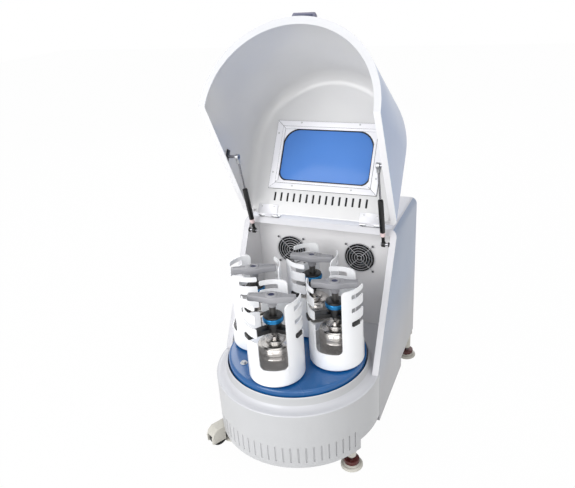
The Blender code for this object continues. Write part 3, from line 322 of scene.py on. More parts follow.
class Web:
    def __init__(self, tree):
        self.tree = tree

    def node(self, kind, settings=None, inputs=None, output=0):
        made = self.tree.nodes.new(kind)
        for key, value in (settings or {}).items():
            setattr(made, key, value)
        for key, value in (inputs or {}).items():
            self.feed(made.inputs[key], value)
        return Wire(self, made.outputs[output])

    def feed(self, socket, value):
        if isinstance(value, Wire):
            self.tree.links.new(value.socket, socket)
        elif socket.type == "RGBA":
            socket.default_value = (*value, 1.0)
        else:
            socket.default_value = value

    def whiteToEye(self, output, lit, shown, share=None):
        # what the camera, glass and metal see is the shown shader, and the rest is lit
        seen = self.node("ShaderNodeLightPath", output="Is Camera Ray")
        rays = seen.socket.node
        for other in ("Is Glossy Ray", "Is Transmission Ray"):
            seen = seen.worked("MAXIMUM", Wire(self, rays.outputs[other]))
        if share:
            seen = seen * share
        chosen = self.node("ShaderNodeMixShader", {}, {0: seen, 1: Wire(self, lit.outputs[0]), 2: shown})
        self.feed(self.tree.nodes[output].inputs["Surface"], chosen)


class Finish(Web):
    def __init__(self, name, **sockets):
        self.material = bpy.data.materials.new(name)
        self.material.use_nodes = True
        super().__init__(self.material.node_tree)
        self.shader = self.tree.nodes["Principled BSDF"]
        for socket, value in sockets.items():
            self.shader.inputs[socket.replace("_", " ")].default_value = value
        self.place = self.node("ShaderNodeTexCoord", output="Object")

    def give(self, socket, value):
        self.feed(self.shader.inputs[socket], value)

    def noise(self, scale, detail=2.0, grain=0.5, stretch=(1.0, 1.0, 1.0)):
        where = self.node("ShaderNodeMapping", {}, {"Vector": self.place, "Scale": stretch})
        return self.node("ShaderNodeTexNoise", {}, {"Vector": where, "Scale": scale, "Detail": detail,
                                                    "Roughness": grain})

    def mixed(self, share, first, second):
        return self.node("ShaderNodeMix", {"data_type": "RGBA"}, {0: share, 6: first, 7: second}, 2)

    def height(self, low, high):
        return self.node("ShaderNodeSeparateXYZ", {}, {0: self.place}, 2).spread(low, high)

    def bump(self, height, distance):
        self.give("Normal", self.node("ShaderNodeBump", {}, {"Height": height, "Distance": distance,
                                                             "Strength": 1.0}))


def coatFinish(name, colour, deep, rough, peel=0.000006, peelScale=260.0, low=None, band=(0.1, 0.5),
               coat=0.0):
    # sprayed or powder-coated metal: faint cloudiness and orange peel; where low is given, the colour above
    # the band is a painted reflection, which fades to the low tint below it
    finish = Finish(name, Coat_Weight=coat, Coat_Roughness=0.12)
    cloud = finish.noise(5.0, 3.0).spread(0.3, 0.7)
    base = finish.mixed(cloud, paint(*colour), paint(*deep))
    # painted reflection: the colour above the band fades to the plain low tint below it
    if low:
        belowReflectionPaint = paint(*low)
        belowReflectionBase = finish.mixed(cloud, belowReflectionPaint, tuple(value * 0.97 for value in belowReflectionPaint))
        base = finish.mixed(finish.height(*band), belowReflectionBase, base)
    finish.give("Base Color", base)
    finish.give("Roughness", cloud * 0.06 + (rough - 0.03))
    finish.bump(finish.noise(peelScale, 1.0), peel)
    return finish.material


def metalFinish(name, colour, deep, rough, stretch, scale=900.0, metallic=1.0):
    # turned, drawn or brushed metal: lines run where stretch is small
    finish = Finish(name, Metallic=metallic)
    lines = finish.noise(scale, 3.0, 0.6, stretch)
    smear = finish.noise(14.0, 3.0).spread(0.35, 0.7)
    share = lines.spread(0.3, 0.7) * 0.5 + smear * 0.5
    finish.give("Base Color", finish.mixed(share, paint(*colour), paint(*deep)))
    finish.give("Roughness", lines * 0.12 + smear * 0.10 + (rough - 0.1))
    finish.bump(lines, 0.00001)
    return finish.material


def mouldFinish(name, colour, deep, rough, grain=1400.0, depth=0.00002, wear=0.0, light=None):
    # moulded plastic or rubber: fine spark grain, handling marks
    finish = Finish(name)
    cloud = finish.noise(18.0, 4.0).spread(0.3, 0.75)
    base = finish.mixed(cloud, paint(*colour), paint(*deep))
    if wear:
        rub = finish.noise(60.0, 5.0, 0.7).spread(0.60, 0.72)
        base = finish.mixed(rub * wear, base, paint(*light))
    finish.give("Base Color", base)
    finish.give("Roughness", cloud * 0.10 + (rough - 0.05))
    finish.bump(finish.noise(grain, 2.0), depth)
    return finish.material


def glassFinish(name, colour, deep):
    # a smoky blue sheet, which lets little through
    finish = Finish(name, Transmission_Weight=0.15, IOR=1.45, Specular_IOR_Level=0.12)
    cloud = finish.noise(4.0, 2.0).spread(0.3, 0.7)
    finish.give("Base Color", finish.mixed(cloud, paint(*colour), paint(*deep)))
    finish.give("Roughness", finish.noise(60.0, 3.0).spread(0.4, 0.8, 0.16, 0.22))
    return finish.material


# each with its two tints, which the cloudiness mixes, and its roughness
finishes = {look.name: look for look in (
    # the casing's sides: darkened to the tone of the side in shade (painted shade), bluish high up fading to
    # neutral grey low down (painted reflection)
    coatFinish("casingPaint", (152, 166, 190), (147, 162, 187), 0.36, low=(165, 165, 169), band=(0.18, 0.40),
               coat=0.15),
    coatFinish("frontPaint", (196, 197, 199), (191, 192, 194), 0.38, coat=0.15),
    # the hood's outside: light blue paint, darkened to the tone of the side in shade (painted shade)
    coatFinish("hoodOutsidePaint", (138, 162, 204), (133, 157, 200), 0.30, coat=0.3),
    coatFinish("hoodInsideGelcoat", (220, 220, 220), (213, 213, 214), 0.30, coat=0.4),
    coatFinish("rimPaint", (240, 240, 242), (236, 236, 239), 0.36),
    coatFinish("lipPaint", (224, 225, 228), (220, 221, 225), 0.36),
    coatFinish("lipBarPaint", (252, 252, 253), (249, 249, 251), 0.36),
    coatFinish("bandPaint", (214, 214, 218), (209, 209, 214), 0.38),
    coatFinish("trimPaint", (243, 243, 247), (238, 238, 243), 0.34),
    coatFinish("deckPaint", (210, 211, 216), (205, 206, 211), 0.34, coat=0.15),
    coatFinish("chamberPaint", (240, 239, 240), (235, 234, 235), 0.34, coat=0.1),
    coatFinish("cupEnamel", (250, 251, 253), (247, 248, 251), 0.30, peel=0.00001, coat=0.3),
    coatFinish("discPaint", (12, 92, 156), (8, 82, 142), 0.26, coat=0.35),
    coatFinish("blackPaint", (8, 8, 10), (5, 5, 7), 0.36, coat=0.05),
    metalFinish("nutBlueAnodised", (36, 132, 190), (24, 108, 166), 0.24, (0.02, 0.02, 1.0), metallic=0.6),
    coatFinish("starHandleCoat", (168, 168, 172), (140, 140, 145), 0.38, peel=0.00008, peelScale=1500.0),
    mouldFinish("strutBlack", (10, 10, 11), (6, 6, 7), 0.42),
    mouldFinish("handleCapBlue", (38, 44, 82), (26, 31, 64), 0.45),
    metalFinish("jarSteel", (232, 229, 225), (186, 181, 177), 0.24, (0.02, 0.02, 1.0), 1600.0),
    metalFinish("rodChrome", (176, 176, 180), (140, 140, 146), 0.20, (1.0, 1.0, 0.02), 1200.0),
    metalFinish("zincPlate", (204, 205, 206), (178, 180, 182), 0.34, (1.0, 0.05, 1.0), 800.0),
    metalFinish("turnedIron", (128, 126, 124), (96, 95, 94), 0.42, (0.03, 0.03, 1.0), 700.0),
    mouldFinish("guardWire", (204, 204, 207), (190, 190, 194), 0.34),
    mouldFinish("fanBlack", (8, 8, 9), (4, 4, 5), 0.62),
    mouldFinish("guardScrewBlack", (52, 52, 54), (40, 40, 42), 0.4),
    mouldFinish("blackPlastic", (20, 20, 22), (13, 13, 14), 0.42),
    mouldFinish("blackRubber", (24, 24, 25), (16, 16, 17), 0.72, 700.0, 0.00004, 0.25, (70, 68, 66)),
    mouldFinish("casterCream", (208, 206, 198), (194, 191, 182), 0.42, wear=0.3, light=(180, 170, 148)),
    mouldFinish("thumbwheelRed", (84, 24, 20), (58, 14, 12), 0.44),
    mouldFinish("gripGrey", (128, 128, 146), (112, 112, 130), 0.44),
    mouldFinish("strutCollarPink", (236, 214, 214), (222, 198, 200), 0.40),
    coatFinish("motorPaint", (92, 104, 118), (78, 90, 104), 0.45),
    # near black: painted shade in the vent slots and the window trim's gaps
    mouldFinish("darkGap", (16, 16, 17), (10, 10, 11), 0.8),
    glassFinish("tintedPane", (95, 147, 224), (87, 138, 215)),
)}
print("stage: finishes made")

# The camera that the photograph was solved for, its place in millimetres and its turns in radians
viewer = {
    "place": (571.879, -1289.118, 1258.250),
    "yaw": -0.4098,
    "pitch": -0.4381,
    "roll": -0.0632,
    "lens": 37.206,
    "shiftX": -0.01334,
    "shiftY": 0.00810,
    "farEnd": 50.0,
}


def makeCamera():
    yaw, pitch, roll = values(viewer, "yaw pitch roll")
    ahead = Vector((math.sin(yaw) * math.cos(pitch), math.cos(yaw) * math.cos(pitch), math.sin(pitch)))
    level = ahead.cross(Vector((0, 0, 1))).normalized()
    above = level.cross(ahead)
    right = level * math.cos(roll) + above * math.sin(roll)
    up = above * math.cos(roll) - level * math.sin(roll)
    lens = bpy.data.cameras.new("photoLens")
    lens.lens = viewer["lens"]
    lens.shift_x = viewer["shiftX"]
    lens.shift_y = viewer["shiftY"]
    lens.clip_end = viewer["farEnd"]
    camera = placed("photoCamera", lens)
    turn = Matrix((right, up, -ahead)).transposed().to_4x4()
    camera.matrix_world = Matrix.Translation(toFrame @ Vector(viewer["place"])) @ turn
    bpy.context.scene.camera = camera


# The studio is in metres; each lamp has its name, watts, place and size
studio = {
    "floorHalf": 9.0,
    "floorDrop": 0.0006,
    "floorWhite": 0.98,
    "ambient": 0.47,
    "aim": (0, 0, 0.5),
    "lamps": (
        ("keySoftbox", 72.0, (-1.2, -3.1, 2.0), 2.2),
        ("fillSoftbox", 22.0, (1.5, -3.1, 1.4), 1.8),
        ("backSoftbox", 46.0, (-1.4, 3.1, 2.2), 2.2),
        ("topSoftbox", 12.0, (0.5, -0.4, 3.2), 2.4),
    ),
}


def makeWorld():
    world = bpy.data.worlds.new("studioWorld")
    world.use_nodes = True
    bpy.context.scene.world = world
    web = Web(world.node_tree)
    white = (1.0, 1.0, 1.0)
    lit = web.tree.nodes["Background"]
    web.feed(lit.inputs["Color"], white)
    web.feed(lit.inputs["Strength"], studio["ambient"])
    shown = web.node("ShaderNodeBackground", {}, {"Color": white, "Strength": 1.0})
    web.whiteToEye("World Output", lit, shown)


def makeFloor():
    form = bmesh.new()
    bmesh.ops.create_grid(form, x_segments=2, y_segments=2, size=studio["floorHalf"])
    moved(form, 0, 0, -studio["floorDrop"])
    floor = placed("studioFloor", asMesh(form, "studioFloor"))
    finish = Finish("floorPaper", Roughness=0.9)
    finish.give("Base Color", finish.mixed(finish.noise(3.0).spread(0.3, 0.7), (0.90, 0.90, 0.90),
                                           (0.88, 0.88, 0.88)))
    finish.whiteToEye("Material Output", finish.shader, finish.node("ShaderNodeEmission"),
                      studio["floorWhite"])
    floor.data.materials.append(finish.material)


def makeLamps():
    for name, power, place, size in studio["lamps"]:
        lamp = bpy.data.lights.new(name, "AREA")
        lamp.energy = power
        lamp.size = size
        holder = placed(name, lamp)
        aim = Vector(studio["aim"]) - Vector(place)
        holder.matrix_world = Matrix.Translation(place) @ aim.to_track_quat("-Z", "Y").to_matrix().to_4x4()


bpy.context.scene.view_settings.view_transform = "Standard"
makeCamera()
makeWorld()
makeFloor()
makeLamps()
print("stage: camera and studio made")

# Small fastenings
screwSet = {"head": 4.2, "height": 1.6, "steps": 20, "slotWidth": 0.9, "slotDepth": 0.8, "slotReach": 0.62,
            "turnStep": 37.0}


def screwForm():
    # a domed head with a cross recess, standing on z 0
    radius, height, steps = values(screwSet, "head height steps")
    form = lathe([(0, 0), (radius, 0), (radius, height * 0.35), (radius * 0.82, height * 0.8),
                  (radius * 0.45, height), (0, height)], steps)
    arm = radius * screwSet["slotReach"]
    half = screwSet["slotWidth"] / 2
    low = height - screwSet["slotDepth"]
    return carved(form, block((-arm, -half, low), (arm, half, height * 2)),
                  block((-half, -arm, low), (half, arm, height * 2)))


screwMesh = asMesh(screwForm(), "screwHead")


def screwsAt(name, body, spots, lay=still, facing=still, scale=1.0, look="zincPlate"):
    # one piece for a row of like screws; facing turns +Z to the way the heads point
    row = bmesh.new()
    for index, spot in enumerate(spots):
        one = bmesh.new()
        one.from_mesh(screwMesh)
        turned(one, screwSet["turnStep"] * index)
        laid(one, Matrix.Translation(spot) @ facing @ Matrix.Scale(scale, 4))
        row.from_mesh(asMesh(one))
    return finishPiece(name, row, body, look, lay=lay)


# Cups
cupSet = {
    "radius": 75.0, "wall": 3.0, "foot": 292.0, "floor": 6.0, "footRound": 6.0,
    "windowLow": 344.0, "top": 529.0, "halfWindow": 30.0, "windowRound": 13.0, "postRound": 12.0,
    "slots": (430.0, 470.0, 509.0), "slotHeight": 14.0, "slotStart": 51.0, "slotRound": 3.5,
    "column": 3.0, "edge": 0.8, "shaftTop": 291.0,
}
# the four stations on the disc, and how far each cup's windows and each handle are turned
orbit = {
    "radius": 121.5, "stations": (-94.2, -4.2, 85.8, 175.8), "windows": (-70.3, -88.9, -55.0, -27.5),
    "handles": (12.0, 15.0, 6.0, 25.0),
}
stationSpots = []
for angle in orbit["stations"]:
    spot = math.radians(angle)
    stationSpots.append((orbit["radius"] * math.cos(spot), orbit["radius"] * math.sin(spot)))


def sliced(form, place, facing, **more):
    bmesh.ops.bisect_plane(form, geom=form.verts[:] + form.edges[:] + form.faces[:], dist=mill["weld"],
                           plane_co=place, plane_no=facing, **more)


def cupThird():
    # a third of the wall as a flat blank: a window's half at each end and the slots of one post
    radius, windowLow, windowRound, windowEdge = values(cupSet, "radius windowLow windowRound halfWindow")
    top, postRound, slotStart, slotRound = values(cupSet, "top postRound slotStart slotRound")
    perDegree = math.radians(radius)
    postEnd = 120.0 - windowEdge
    base = cupSet["foot"] + cupSet["footRound"]
    half = cupSet["slotHeight"] / 2
    outline = [(0, base, 0), (120, base, 0), (120, windowLow, 0), (postEnd, windowLow, windowRound)]
    for height in cupSet["slots"]:
        outline += [(postEnd, height - half, slotRound), (slotStart, height - half, slotRound),
                    (slotStart, height + half, slotRound), (postEnd, height + half, slotRound)]
    outline += [(postEnd, top, slotRound), (windowEdge, top, postRound),
                (windowEdge, windowLow, windowRound), (0, windowLow, 0)]
    form = bmesh.new()
    corners = [form.verts.new((degrees * perDegree, height, 0)) for degrees, height, rounding in outline]
    form.faces.new(corners)
    for rounding in {windowRound, postRound, slotRound}:
        rounded = [corner for corner, spot in zip(corners, outline) if spot[2] == rounding]
        bmesh.ops.bevel(form, geom=rounded, offset=rounding, offset_type="OFFSET", segments=5, profile=0.5,
                        affect="VERTICES", material=-1, clamp_overlap=False)
        kept = [index for index, corner in enumerate(corners) if corner.is_valid]
        corners = [corners[index] for index in kept]
        outline = [outline[index] for index in kept]
    step = cupSet["column"]
    for index in range(1, int(120 / step)):
        sliced(form, (index * (step * perDegree), 0, 0), (1, 0, 0))
    return form


def cupWall():
    radius = cupSet["radius"]
    form = cupThird()
    third = form.faces[:]
    for index in (1, 2):
        twin = bmesh.ops.duplicate(form, geom=third)
        spots = [part for part in twin["geom"] if isinstance(part, bmesh.types.BMVert)]
        bmesh.ops.translate(form, verts=spots, vec=(120 * math.radians(radius) * index, 0, 0))
    welded(form, 4)
    for vert in form.verts:  # the flat blank is rolled up
        angle = vert.co.x / radius
        vert.co = Vector((radius * math.cos(angle), radius * math.sin(angle), vert.co.y))
    outwards(welded(form, 4))
    form.normal_update()
    first = form.faces[0]
    if first.normal.dot(Vector((*first.calc_center_median().xy, 0))) < 0:
        bmesh.ops.reverse_faces(form, faces=form.faces[:])
    bmesh.ops.solidify(form, geom=form.faces[:], thickness=cupSet["wall"])
    base = cupSet["foot"] + cupSet["footRound"] + 0.5
    return softened(form, cupSet["edge"], 2, 50.0, True, lambda edge: min(v.co.z for v in edge.verts) > base)


def cupFloor():
    radius, foot, rounding = values(cupSet, "radius foot footRound")
    profile = [(0, foot)]
    for index in range(7):
        angle = math.radians(90.0 * index / 6)
        profile.append((radius - rounding * (1 - math.sin(angle)), foot + rounding * (1 - math.cos(angle))))
    profile += [(radius - cupSet["wall"], foot + rounding), (0, foot + cupSet["floor"])]
    return lathe(profile, 120)


def underGear(index):
    # the CAD cup's own shaft and gear, without the cup
    form = nodeForm("planet_cup_%d" % index)
    sliced(form, (0, 0, cupSet["shaftTop"]), (0, 0, 1), clear_outer=True)
    bmesh.ops.holes_fill(form, edges=[edge for edge in form.edges if edge.is_boundary])
    return softened(form, 0.4, 1)


jarSet = {
    "radius": 46.0, "base": 298.3, "seam": 373.0, "seamOut": 1.8, "seamHeight": 4.0, "shoulder": 385.0,
    "waist": 40.0, "dome": 399.0, "boss": 25.0, "loopTop": 407.0, "loopHalf": 14.0, "loopDepth": 8.0,
    "loopBar": 4.0, "steps": 72,
}


def jarForm():
    radius, base, seam, shoulder, waist = values(jarSet, "radius base seam shoulder waist")
    boss, dome, high, half, bar = values(jarSet, "boss dome loopTop loopHalf loopBar")
    ridge = radius + jarSet["seamOut"]
    ridgeTop = seam + jarSet["seamHeight"]
    deep = jarSet["loopDepth"] / 2
    profile = [
        (0, base), (radius - 3.5, base), (radius, base + 3.5), (radius, seam - 20),
        (radius + 0.9, seam - 19.2), (radius + 0.9, seam - 16), (radius, seam - 15.2),
        (radius, seam - 6), (radius + 0.6, seam - 5), (radius + 0.6, seam - 0.6),
        (radius - 0.8, seam - 0.2), (radius - 0.8, seam + 0.4), (ridge, seam + 0.8), (ridge, ridgeTop),
        (radius + 0.4, ridgeTop + 1.2), (radius - 0.6, shoulder - 2), (radius - 3, shoulder + 1.0),
        (waist, shoulder + 2.0), (waist - 1.5, shoulder + 3.4), (boss + 2.5, shoulder + 4.2),
        (boss, shoulder + 5.4), (boss, dome - 2.6), (boss - 1.6, dome - 1.2), (boss - 6, dome - 0.8),
        (boss - 7, dome), (0, dome),
    ]
    body = softened(lathe(profile, jarSet["steps"]), 0.7, 2, 30.0)
    loop = block((-half, -deep, dome - 1), (half, deep, high))
    eye = block((-half + bar, -20, dome + 1), (half - bar, 20, high - 2.6))
    return gathered([body, softened(carved(loop, eye), 1.0, 3)])


clampSet = {
    "yokeLow": 424.0, "yokeHigh": 436.0, "hub": 21.0, "hubTop": 451.0, "armRoot": 14.0, "armTip": 12.0,
    "armReach": 78.5, "armAngle": 61.5, "spindle": 9.0, "play": 0.3, "spindleLow": 407.3,
    "nutLow": 451.5, "nutHeight": 18.0, "ringHeight": 12.5, "nutRadius": 27.5, "nutWaist": 25.0, "knurls": 36,
    "starLow": 509.0, "starHeight": 16.0, "starHub": 14.0, "starTop": 528.0, "starCap": 8.5,
    "thread": 2.0, "turns": 14,
    # half of one wing of the handle, from its tip to the middle
    "wing": ((62.0, 7.0), (60.5, 9.0), (52.0, 10.2), (40.0, 11.0), (30.0, 12.6), (22.0, 15.2), (13.0, 17.8),
             (5.0, 19.0)),
}


def yokeForm():
    low, high, hubRadius, hubTop = values(clampSet, "yokeLow yokeHigh hub hubTop")
    root, tip, reach = values(clampSet, "armRoot armTip armReach")
    bore = clampSet["spindle"] + clampSet["play"]
    hub = lathe([(bore, low), (hubRadius, low), (hubRadius, high + 2), (hubRadius - 3, hubTop),
                 (bore, hubTop)], 48, closed=True)
    parts = [softened(hub, 1.2, 2, 25.0)]
    middle = reach * 0.62
    for index in range(3):
        arm = plate([(hubRadius - 5, -root), (middle, -tip), (reach, -tip), (reach, tip), (middle, tip),
                     (hubRadius - 5, root)], low, high)
        parts.append(turned(softened(arm, 1.4, 3), clampSet["armAngle"] + 120.0 * index))
    return gathered(parts)


def knurled(profile, steps, count, depth):
    # a turned form whose outermost rings are pulled in at every other step
    form = lathe(profile, steps, closed=True)
    outer = max(radius for radius, height in profile)
    for vert in form.verts:
        reach = math.hypot(vert.co.x, vert.co.y)
        if reach > outer - 0.6:
            wave = 0.5 + 0.5 * math.cos(count * math.atan2(vert.co.y, vert.co.x))
            vert.co.xy = vert.co.xy * ((reach - depth * wave) / reach)
    return form


def nutForms():
    low, radius, waist = values(clampSet, "nutLow nutRadius nutWaist")
    bore = clampSet["spindle"] + clampSet["play"]
    middle = low + clampSet["ringHeight"]
    high = low + clampSet["nutHeight"]
    ring = lathe([(bore, low), (radius - 1.5, low), (radius, low + 1.5), (radius, middle - 2.2),
                  (waist + 0.9, middle), (bore, middle)], 96, closed=True)
    cap = knurled([(bore, middle), (waist + 0.6, middle), (waist + 0.6, high - 3), (waist - 1.2, high - 1),
                   (waist - 5, high), (bore + 3, high), (bore, high - 1.5)], 144, clampSet["knurls"], 0.7)
    return gathered([inks(softened(ring, 0.5, 2, 30.0), 0), inks(cap, 1)])


def starForms():
    low, top, hubRadius, capRadius = values(clampSet, "starLow starTop starHub starCap")
    spindleRadius, spindleLow = values(clampSet, "spindle spindleLow")
    high = low + clampSet["starHeight"]
    quarter = list(clampSet["wing"])
    half = quarter + [(-x, y) for x, y in reversed(quarter)]
    star = plate(half + [(-x, -y) for x, y in half], low, high)
    softened(star, 2.2, 3, 60.0, False)
    troughs = []
    for side in (-1, 1):
        trough = [(side * 23.0, -7.5), (side * 57.0, -5.0), (side * 57.0, 5.0), (side * 23.0, 7.5)]
        troughs.append(plate(trough, high - 1.6, high + 5))
    star = carved(star, gathered(troughs))
    hub = lathe([(0, low - 17), (10.0, low - 17), (11.4, low - 15.5), (12.2, low - 8), (14.6, low - 4),
                 (17.8, low + 2), (hubRadius + 2.4, high), (hubRadius, top), (capRadius + 1, top),
                 (capRadius, top - 3.4), (0, top - 3.4)], 48)
    softened(hub, 0.8, 2, 30.0)
    cap = lathe([(0, top - 3.3), (capRadius - 0.3, top - 3.3), (capRadius - 1, top - 2.2),
                 (0, top - 2.0)], 32)
    spindle = lathe([(0, spindleLow), (spindleRadius - 2, spindleLow), (spindleRadius, spindleLow + 2),
                     (spindleRadius, low), (0, low)], 32)
    # the thread shows between the nut and the handle
    grooves = []
    for index in range(clampSet["turns"]):
        height = clampSet["nutLow"] + clampSet["nutHeight"] + clampSet["thread"] * (index + 1)
        grooves.append(lathe([(spindleRadius + 1, height - 0.8), (spindleRadius + 1, height + 0.8),
                              (spindleRadius - 0.8, height)], 32, closed=True))
    spindle = carved(spindle, gathered(grooves))
    return gathered([inks(star, 0), inks(hub, 0), inks(spindle, 1), inks(cap, 2)])


def makeCups():
    # the piece, its mesh, its body, its node, its finishes and what it is turned with
    kinds = (
        ("cupShell", asMesh(gathered([cupWall(), cupFloor()]), "cupShell"), "cup", "planet_cup",
         "cupEnamel", "windows"),
        ("steelJar", asMesh(jarForm(), "jar"), "cup", "grinding_jar", "jarSteel", "windows"),
        ("blackYoke", asMesh(yokeForm(), "yoke"), "yoke", "press_yoke", "blackPaint", "windows"),
        ("lockNut", asMesh(nutForms(), "nut"), "nut", "lock_nut", "nutBlueAnodised blackPaint", ""),
        ("starHandle", asMesh(starForms(), "star"), "screw", "handle_screw",
         "starHandleCoat turnedIron handleCapBlue", "handles"),
    )
    for index, spot in enumerate(stationSpots):
        centre = Matrix.Translation((*spot, 0))
        number = index + 1
        for name, mesh, body, node, looks, turns in kinds:
            form = bmesh.new()
            form.from_mesh(mesh)
            way = Matrix.Rotation(math.radians(orbit[turns][index]), 4, "Z") if turns else still
            finishPiece("%s%d" % (name, number), form, "%s_%d" % (body, number), looks,
                        ("%s_%d" % (node, number),), centre @ way)
        finishPiece("cupGear%d" % number, underGear(number), "cup_%d" % number, "turnedIron")


makeCups()
print("stage: cups, jars and clamps made")

# Casing
caseSet = {
    "radius": 235.0, "bow": 234.75, "back": 470.0, "seamY": 15.0, "low": 68.0, "raised": 98.0,
    "raisedY": -99.0, "deck": 240.0, "deckThick": 4.0, "deckEdge": 5.0, "sheet": 3.0, "steps": 96,
    "well": 225.0, "inner": 217.0, "gap": 0.3, "deckFront": -58.75, "chamberBack": 256.0,
    "chamberTop": 574.0, "over": 10.0, "louvres": 25, "louvreStep": 5.0, "louvreWidth": 4.5,
    "louvreLow": 85.0, "louvreHigh": 135.0, "flapDeep": 5.0, "flapThick": 1.0, "flapTurn": -68.0,
    "top": 590.0, "topFront": 205.0, "housingLow": 74.0, "rearLow": 105.0, "archY": 289.0,
    "longRound": 20.0, "bandRound": 2.5, "longEdge": 100.0, "pocketInner": 219.0, "pocketOuter": 232.0,
    "pocketTop": 570.0, "pocketBack": 253.0, "studRadius": 4.0, "studInner": 192.0, "studY": 187.0,
    "studZ": 551.0, "washer": 6.8, "panel": (-258.3, -256.3), "panelLow": 230.0, "panelRound": 16.7,
    "fanHole": 45.6, "holeSpan": (-270.0, -250.0), "wellDeep": 14.0, "louvreRoot": 225.0, "cutTop": 282.0,
    "cornerFront": -0.8, "cornerLow": 226.0, "raisedBack": 25.0,
    # the collar round the disc: its foot, its S-curve, its lip and its inner wall
    "collar": ((227.5, 237.0), (227.5, 240.0), (220.0, 240.7), (213.6, 242.3), (209.4, 245.4), (206.3, 250.2),
               (204.4, 256.6), (203.0, 263.6), (202.1, 269.4), (201.4, 271.3), (200.7, 272.0), (200.0, 271.8),
               (199.5, 270.8), (199.5, 251.0), (212.1, 239.2)),
}
# the slope of the casing's edge, and the upright height of a millimetre measured across it
slope = (caseSet["top"] - caseSet["deck"] - caseSet["gap"]) / caseSet["topFront"]
stretch = math.hypot(1, slope)


def louvres():
    s = caseSet
    low, high, half = s["louvreLow"], s["louvreHigh"], s["louvreWidth"] / 2
    slots = []
    flaps = []
    for index in range(s["louvres"]):
        angle = -90.0 + s["louvreStep"] * (index - (s["louvres"] - 1) / 2)
        slots.append(turned(block((s["louvreRoot"], -half, low), (mill["reach"], half, high)), angle))
        flap = turned(block((-s["flapDeep"], 0, low + 0.4), (0, s["flapThick"], high - 0.4)), s["flapTurn"])
        flaps.append(turned(moved(flap, s["radius"] - s["sheet"] + 0.6, -half), angle))
    return slots, flaps


def baseForm():
    s = caseSet
    low, deck, sheet, seam, steps, over, wide = values(s, "low deck sheet seamY steps over radius")
    under = deck - s["deckThick"]

    def deckEdge(edge):
        return all(v.co.z > deck - 1 for v in edge.verts) and not all(v.co.y > seam - 1 for v in edge.verts)

    form = plate(bowPoints(s["bow"], seam, steps), low, deck)
    softened(form, s["deckEdge"], 6, 60.0, False, deckEdge)
    hollow = plate(bowPoints(wide - sheet, seam + over, steps), low - over, under)
    half = s["inner"] - s["gap"]
    floor = block((-half, s["deckFront"], under), (half, s["chamberBack"], deck))
    form = merged(carved(form, hollow), floor)
    form = carved(form, rodForm(s["well"], deck - s["wellDeep"], deck + over, 144))
    form = merged(form, lathe(s["collar"], 144, closed=True))
    reach, back, cutTop = mill["reach"], s["back"], s["cutTop"]
    tools = bothSides(lambda: block((half, s["cornerFront"], deck - s["gap"]), (reach, back, cutTop)))
    tools += bothSides(lambda: block((half, seam, s["cornerLow"]), (reach, back, cutTop)))
    tools.append(block((-reach, s["raisedY"], low - over), (reach, s["raisedBack"], s["raised"])))
    form = carved(form, *tools)
    slots, flaps = louvres()
    form = gathered([carved(form, gathered(slots))] + flaps)
    return inks(form, 1, lambda spot, normal: spot.z > deck - 3 and normal.z > 0.3)


def housingForm():
    # finishes: 0 outside, 1 chamber, 2 rims, 3 strut studs, 4 their washers, 5 the bar over the chamber
    s = caseSet
    top, topFront, deck, back, inner = values(s, "top topFront deck back inner")
    low, sheet, over, gap, chamberBack = values(s, "housingLow sheet over gap chamberBack")
    front, seat, ceilingLow, roof = s["seamY"] + gap, deck + gap, s["chamberTop"], top - sheet
    form = alongX(plate([(front, low), (s["archY"], low), (s["archY"], s["rearLow"]), (back, s["rearLow"]),
                         (back, top), (topFront, top), (0, seat), (front, seat)], -s["radius"], s["radius"]))
    softened(form, s["longRound"], 8, 60.0, False,
             lambda edge: all(v.co.z > top - 1 for v in edge.verts) and edgeRun(edge)[1] > s["longEdge"])
    softened(form, s["bandRound"], 3, 60.0, False, lambda edge: min(edgeRun(edge)[1:]) > s["longEdge"])
    chamber = block((-inner, -over, low - over), (inner, chamberBack, ceilingLow))
    ceiling = block((-inner, topFront + 4, ceilingLow - over), (inner, chamberBack, roof))
    bay = alongY(plate(roundedBox(s["radius"] - sheet, low - over, roof, 0.5, 17.0), -back - over,
                       -chamberBack))
    pocketFront, pocketTop, pocketBack = s["seamY"] + sheet, s["pocketTop"], s["pocketBack"]
    pocket = [(pocketFront, low - over), (pocketFront, deck + s["seamY"] * slope),
              (topFront - (top - pocketTop) / slope + sheet, pocketTop), (pocketBack, pocketTop),
              (pocketBack, low - over)]
    pockets = bothSides(lambda: alongX(plate(pocket, s["pocketInner"], s["pocketOuter"])))
    form = carved(form, chamber, ceiling, bay, *pockets)
    studs = crossRods(s["studRadius"], s["studInner"], inner + 1, s["studY"], s["studZ"])
    washers = crossRods(s["washer"], inner - 3, inner + 1, s["studY"], s["studZ"])
    inside = inner + 0.4

    def isRim(spot, normal):
        outside = abs(spot.x) > inside or spot.y > chamberBack
        return (normal.y < -0.3 and spot.y < topFront + 3 and spot.z > deck) or (outside and normal.z > 0.9)

    def isBar(spot, normal):
        return normal.y < -0.3 and abs(spot.x) < inside and spot.z > ceilingLow - 4 and spot.y < topFront + 6

    inks(form, 1, lambda spot, normal: abs(spot.x) < inside and spot.y < chamberBack + 1)
    inks(form, 2, isRim)
    inks(form, 5, isBar)
    return gathered([form, inks(gathered(studs), 3), inks(gathered(washers), 4)])


fanSet = {
    "x": 110.0, "z": 466.0, "guard": 47.4, "wire": 0.8, "rings": 6, "guardZ": 251.4, "square": 46.0,
    "front": 258.6, "rear": 283.6, "bore": 42.5, "shroud": 45.2, "shroudIn": 41.5, "hub": 17.0, "blades": 7,
    "tip": 40.2, "screw": 41.25, "rows": 8, "rootPitch": 48.0, "twist": 22.0, "middlePitch": 35.0,
    "thick": 0.7, "sweep": 0.25,
}


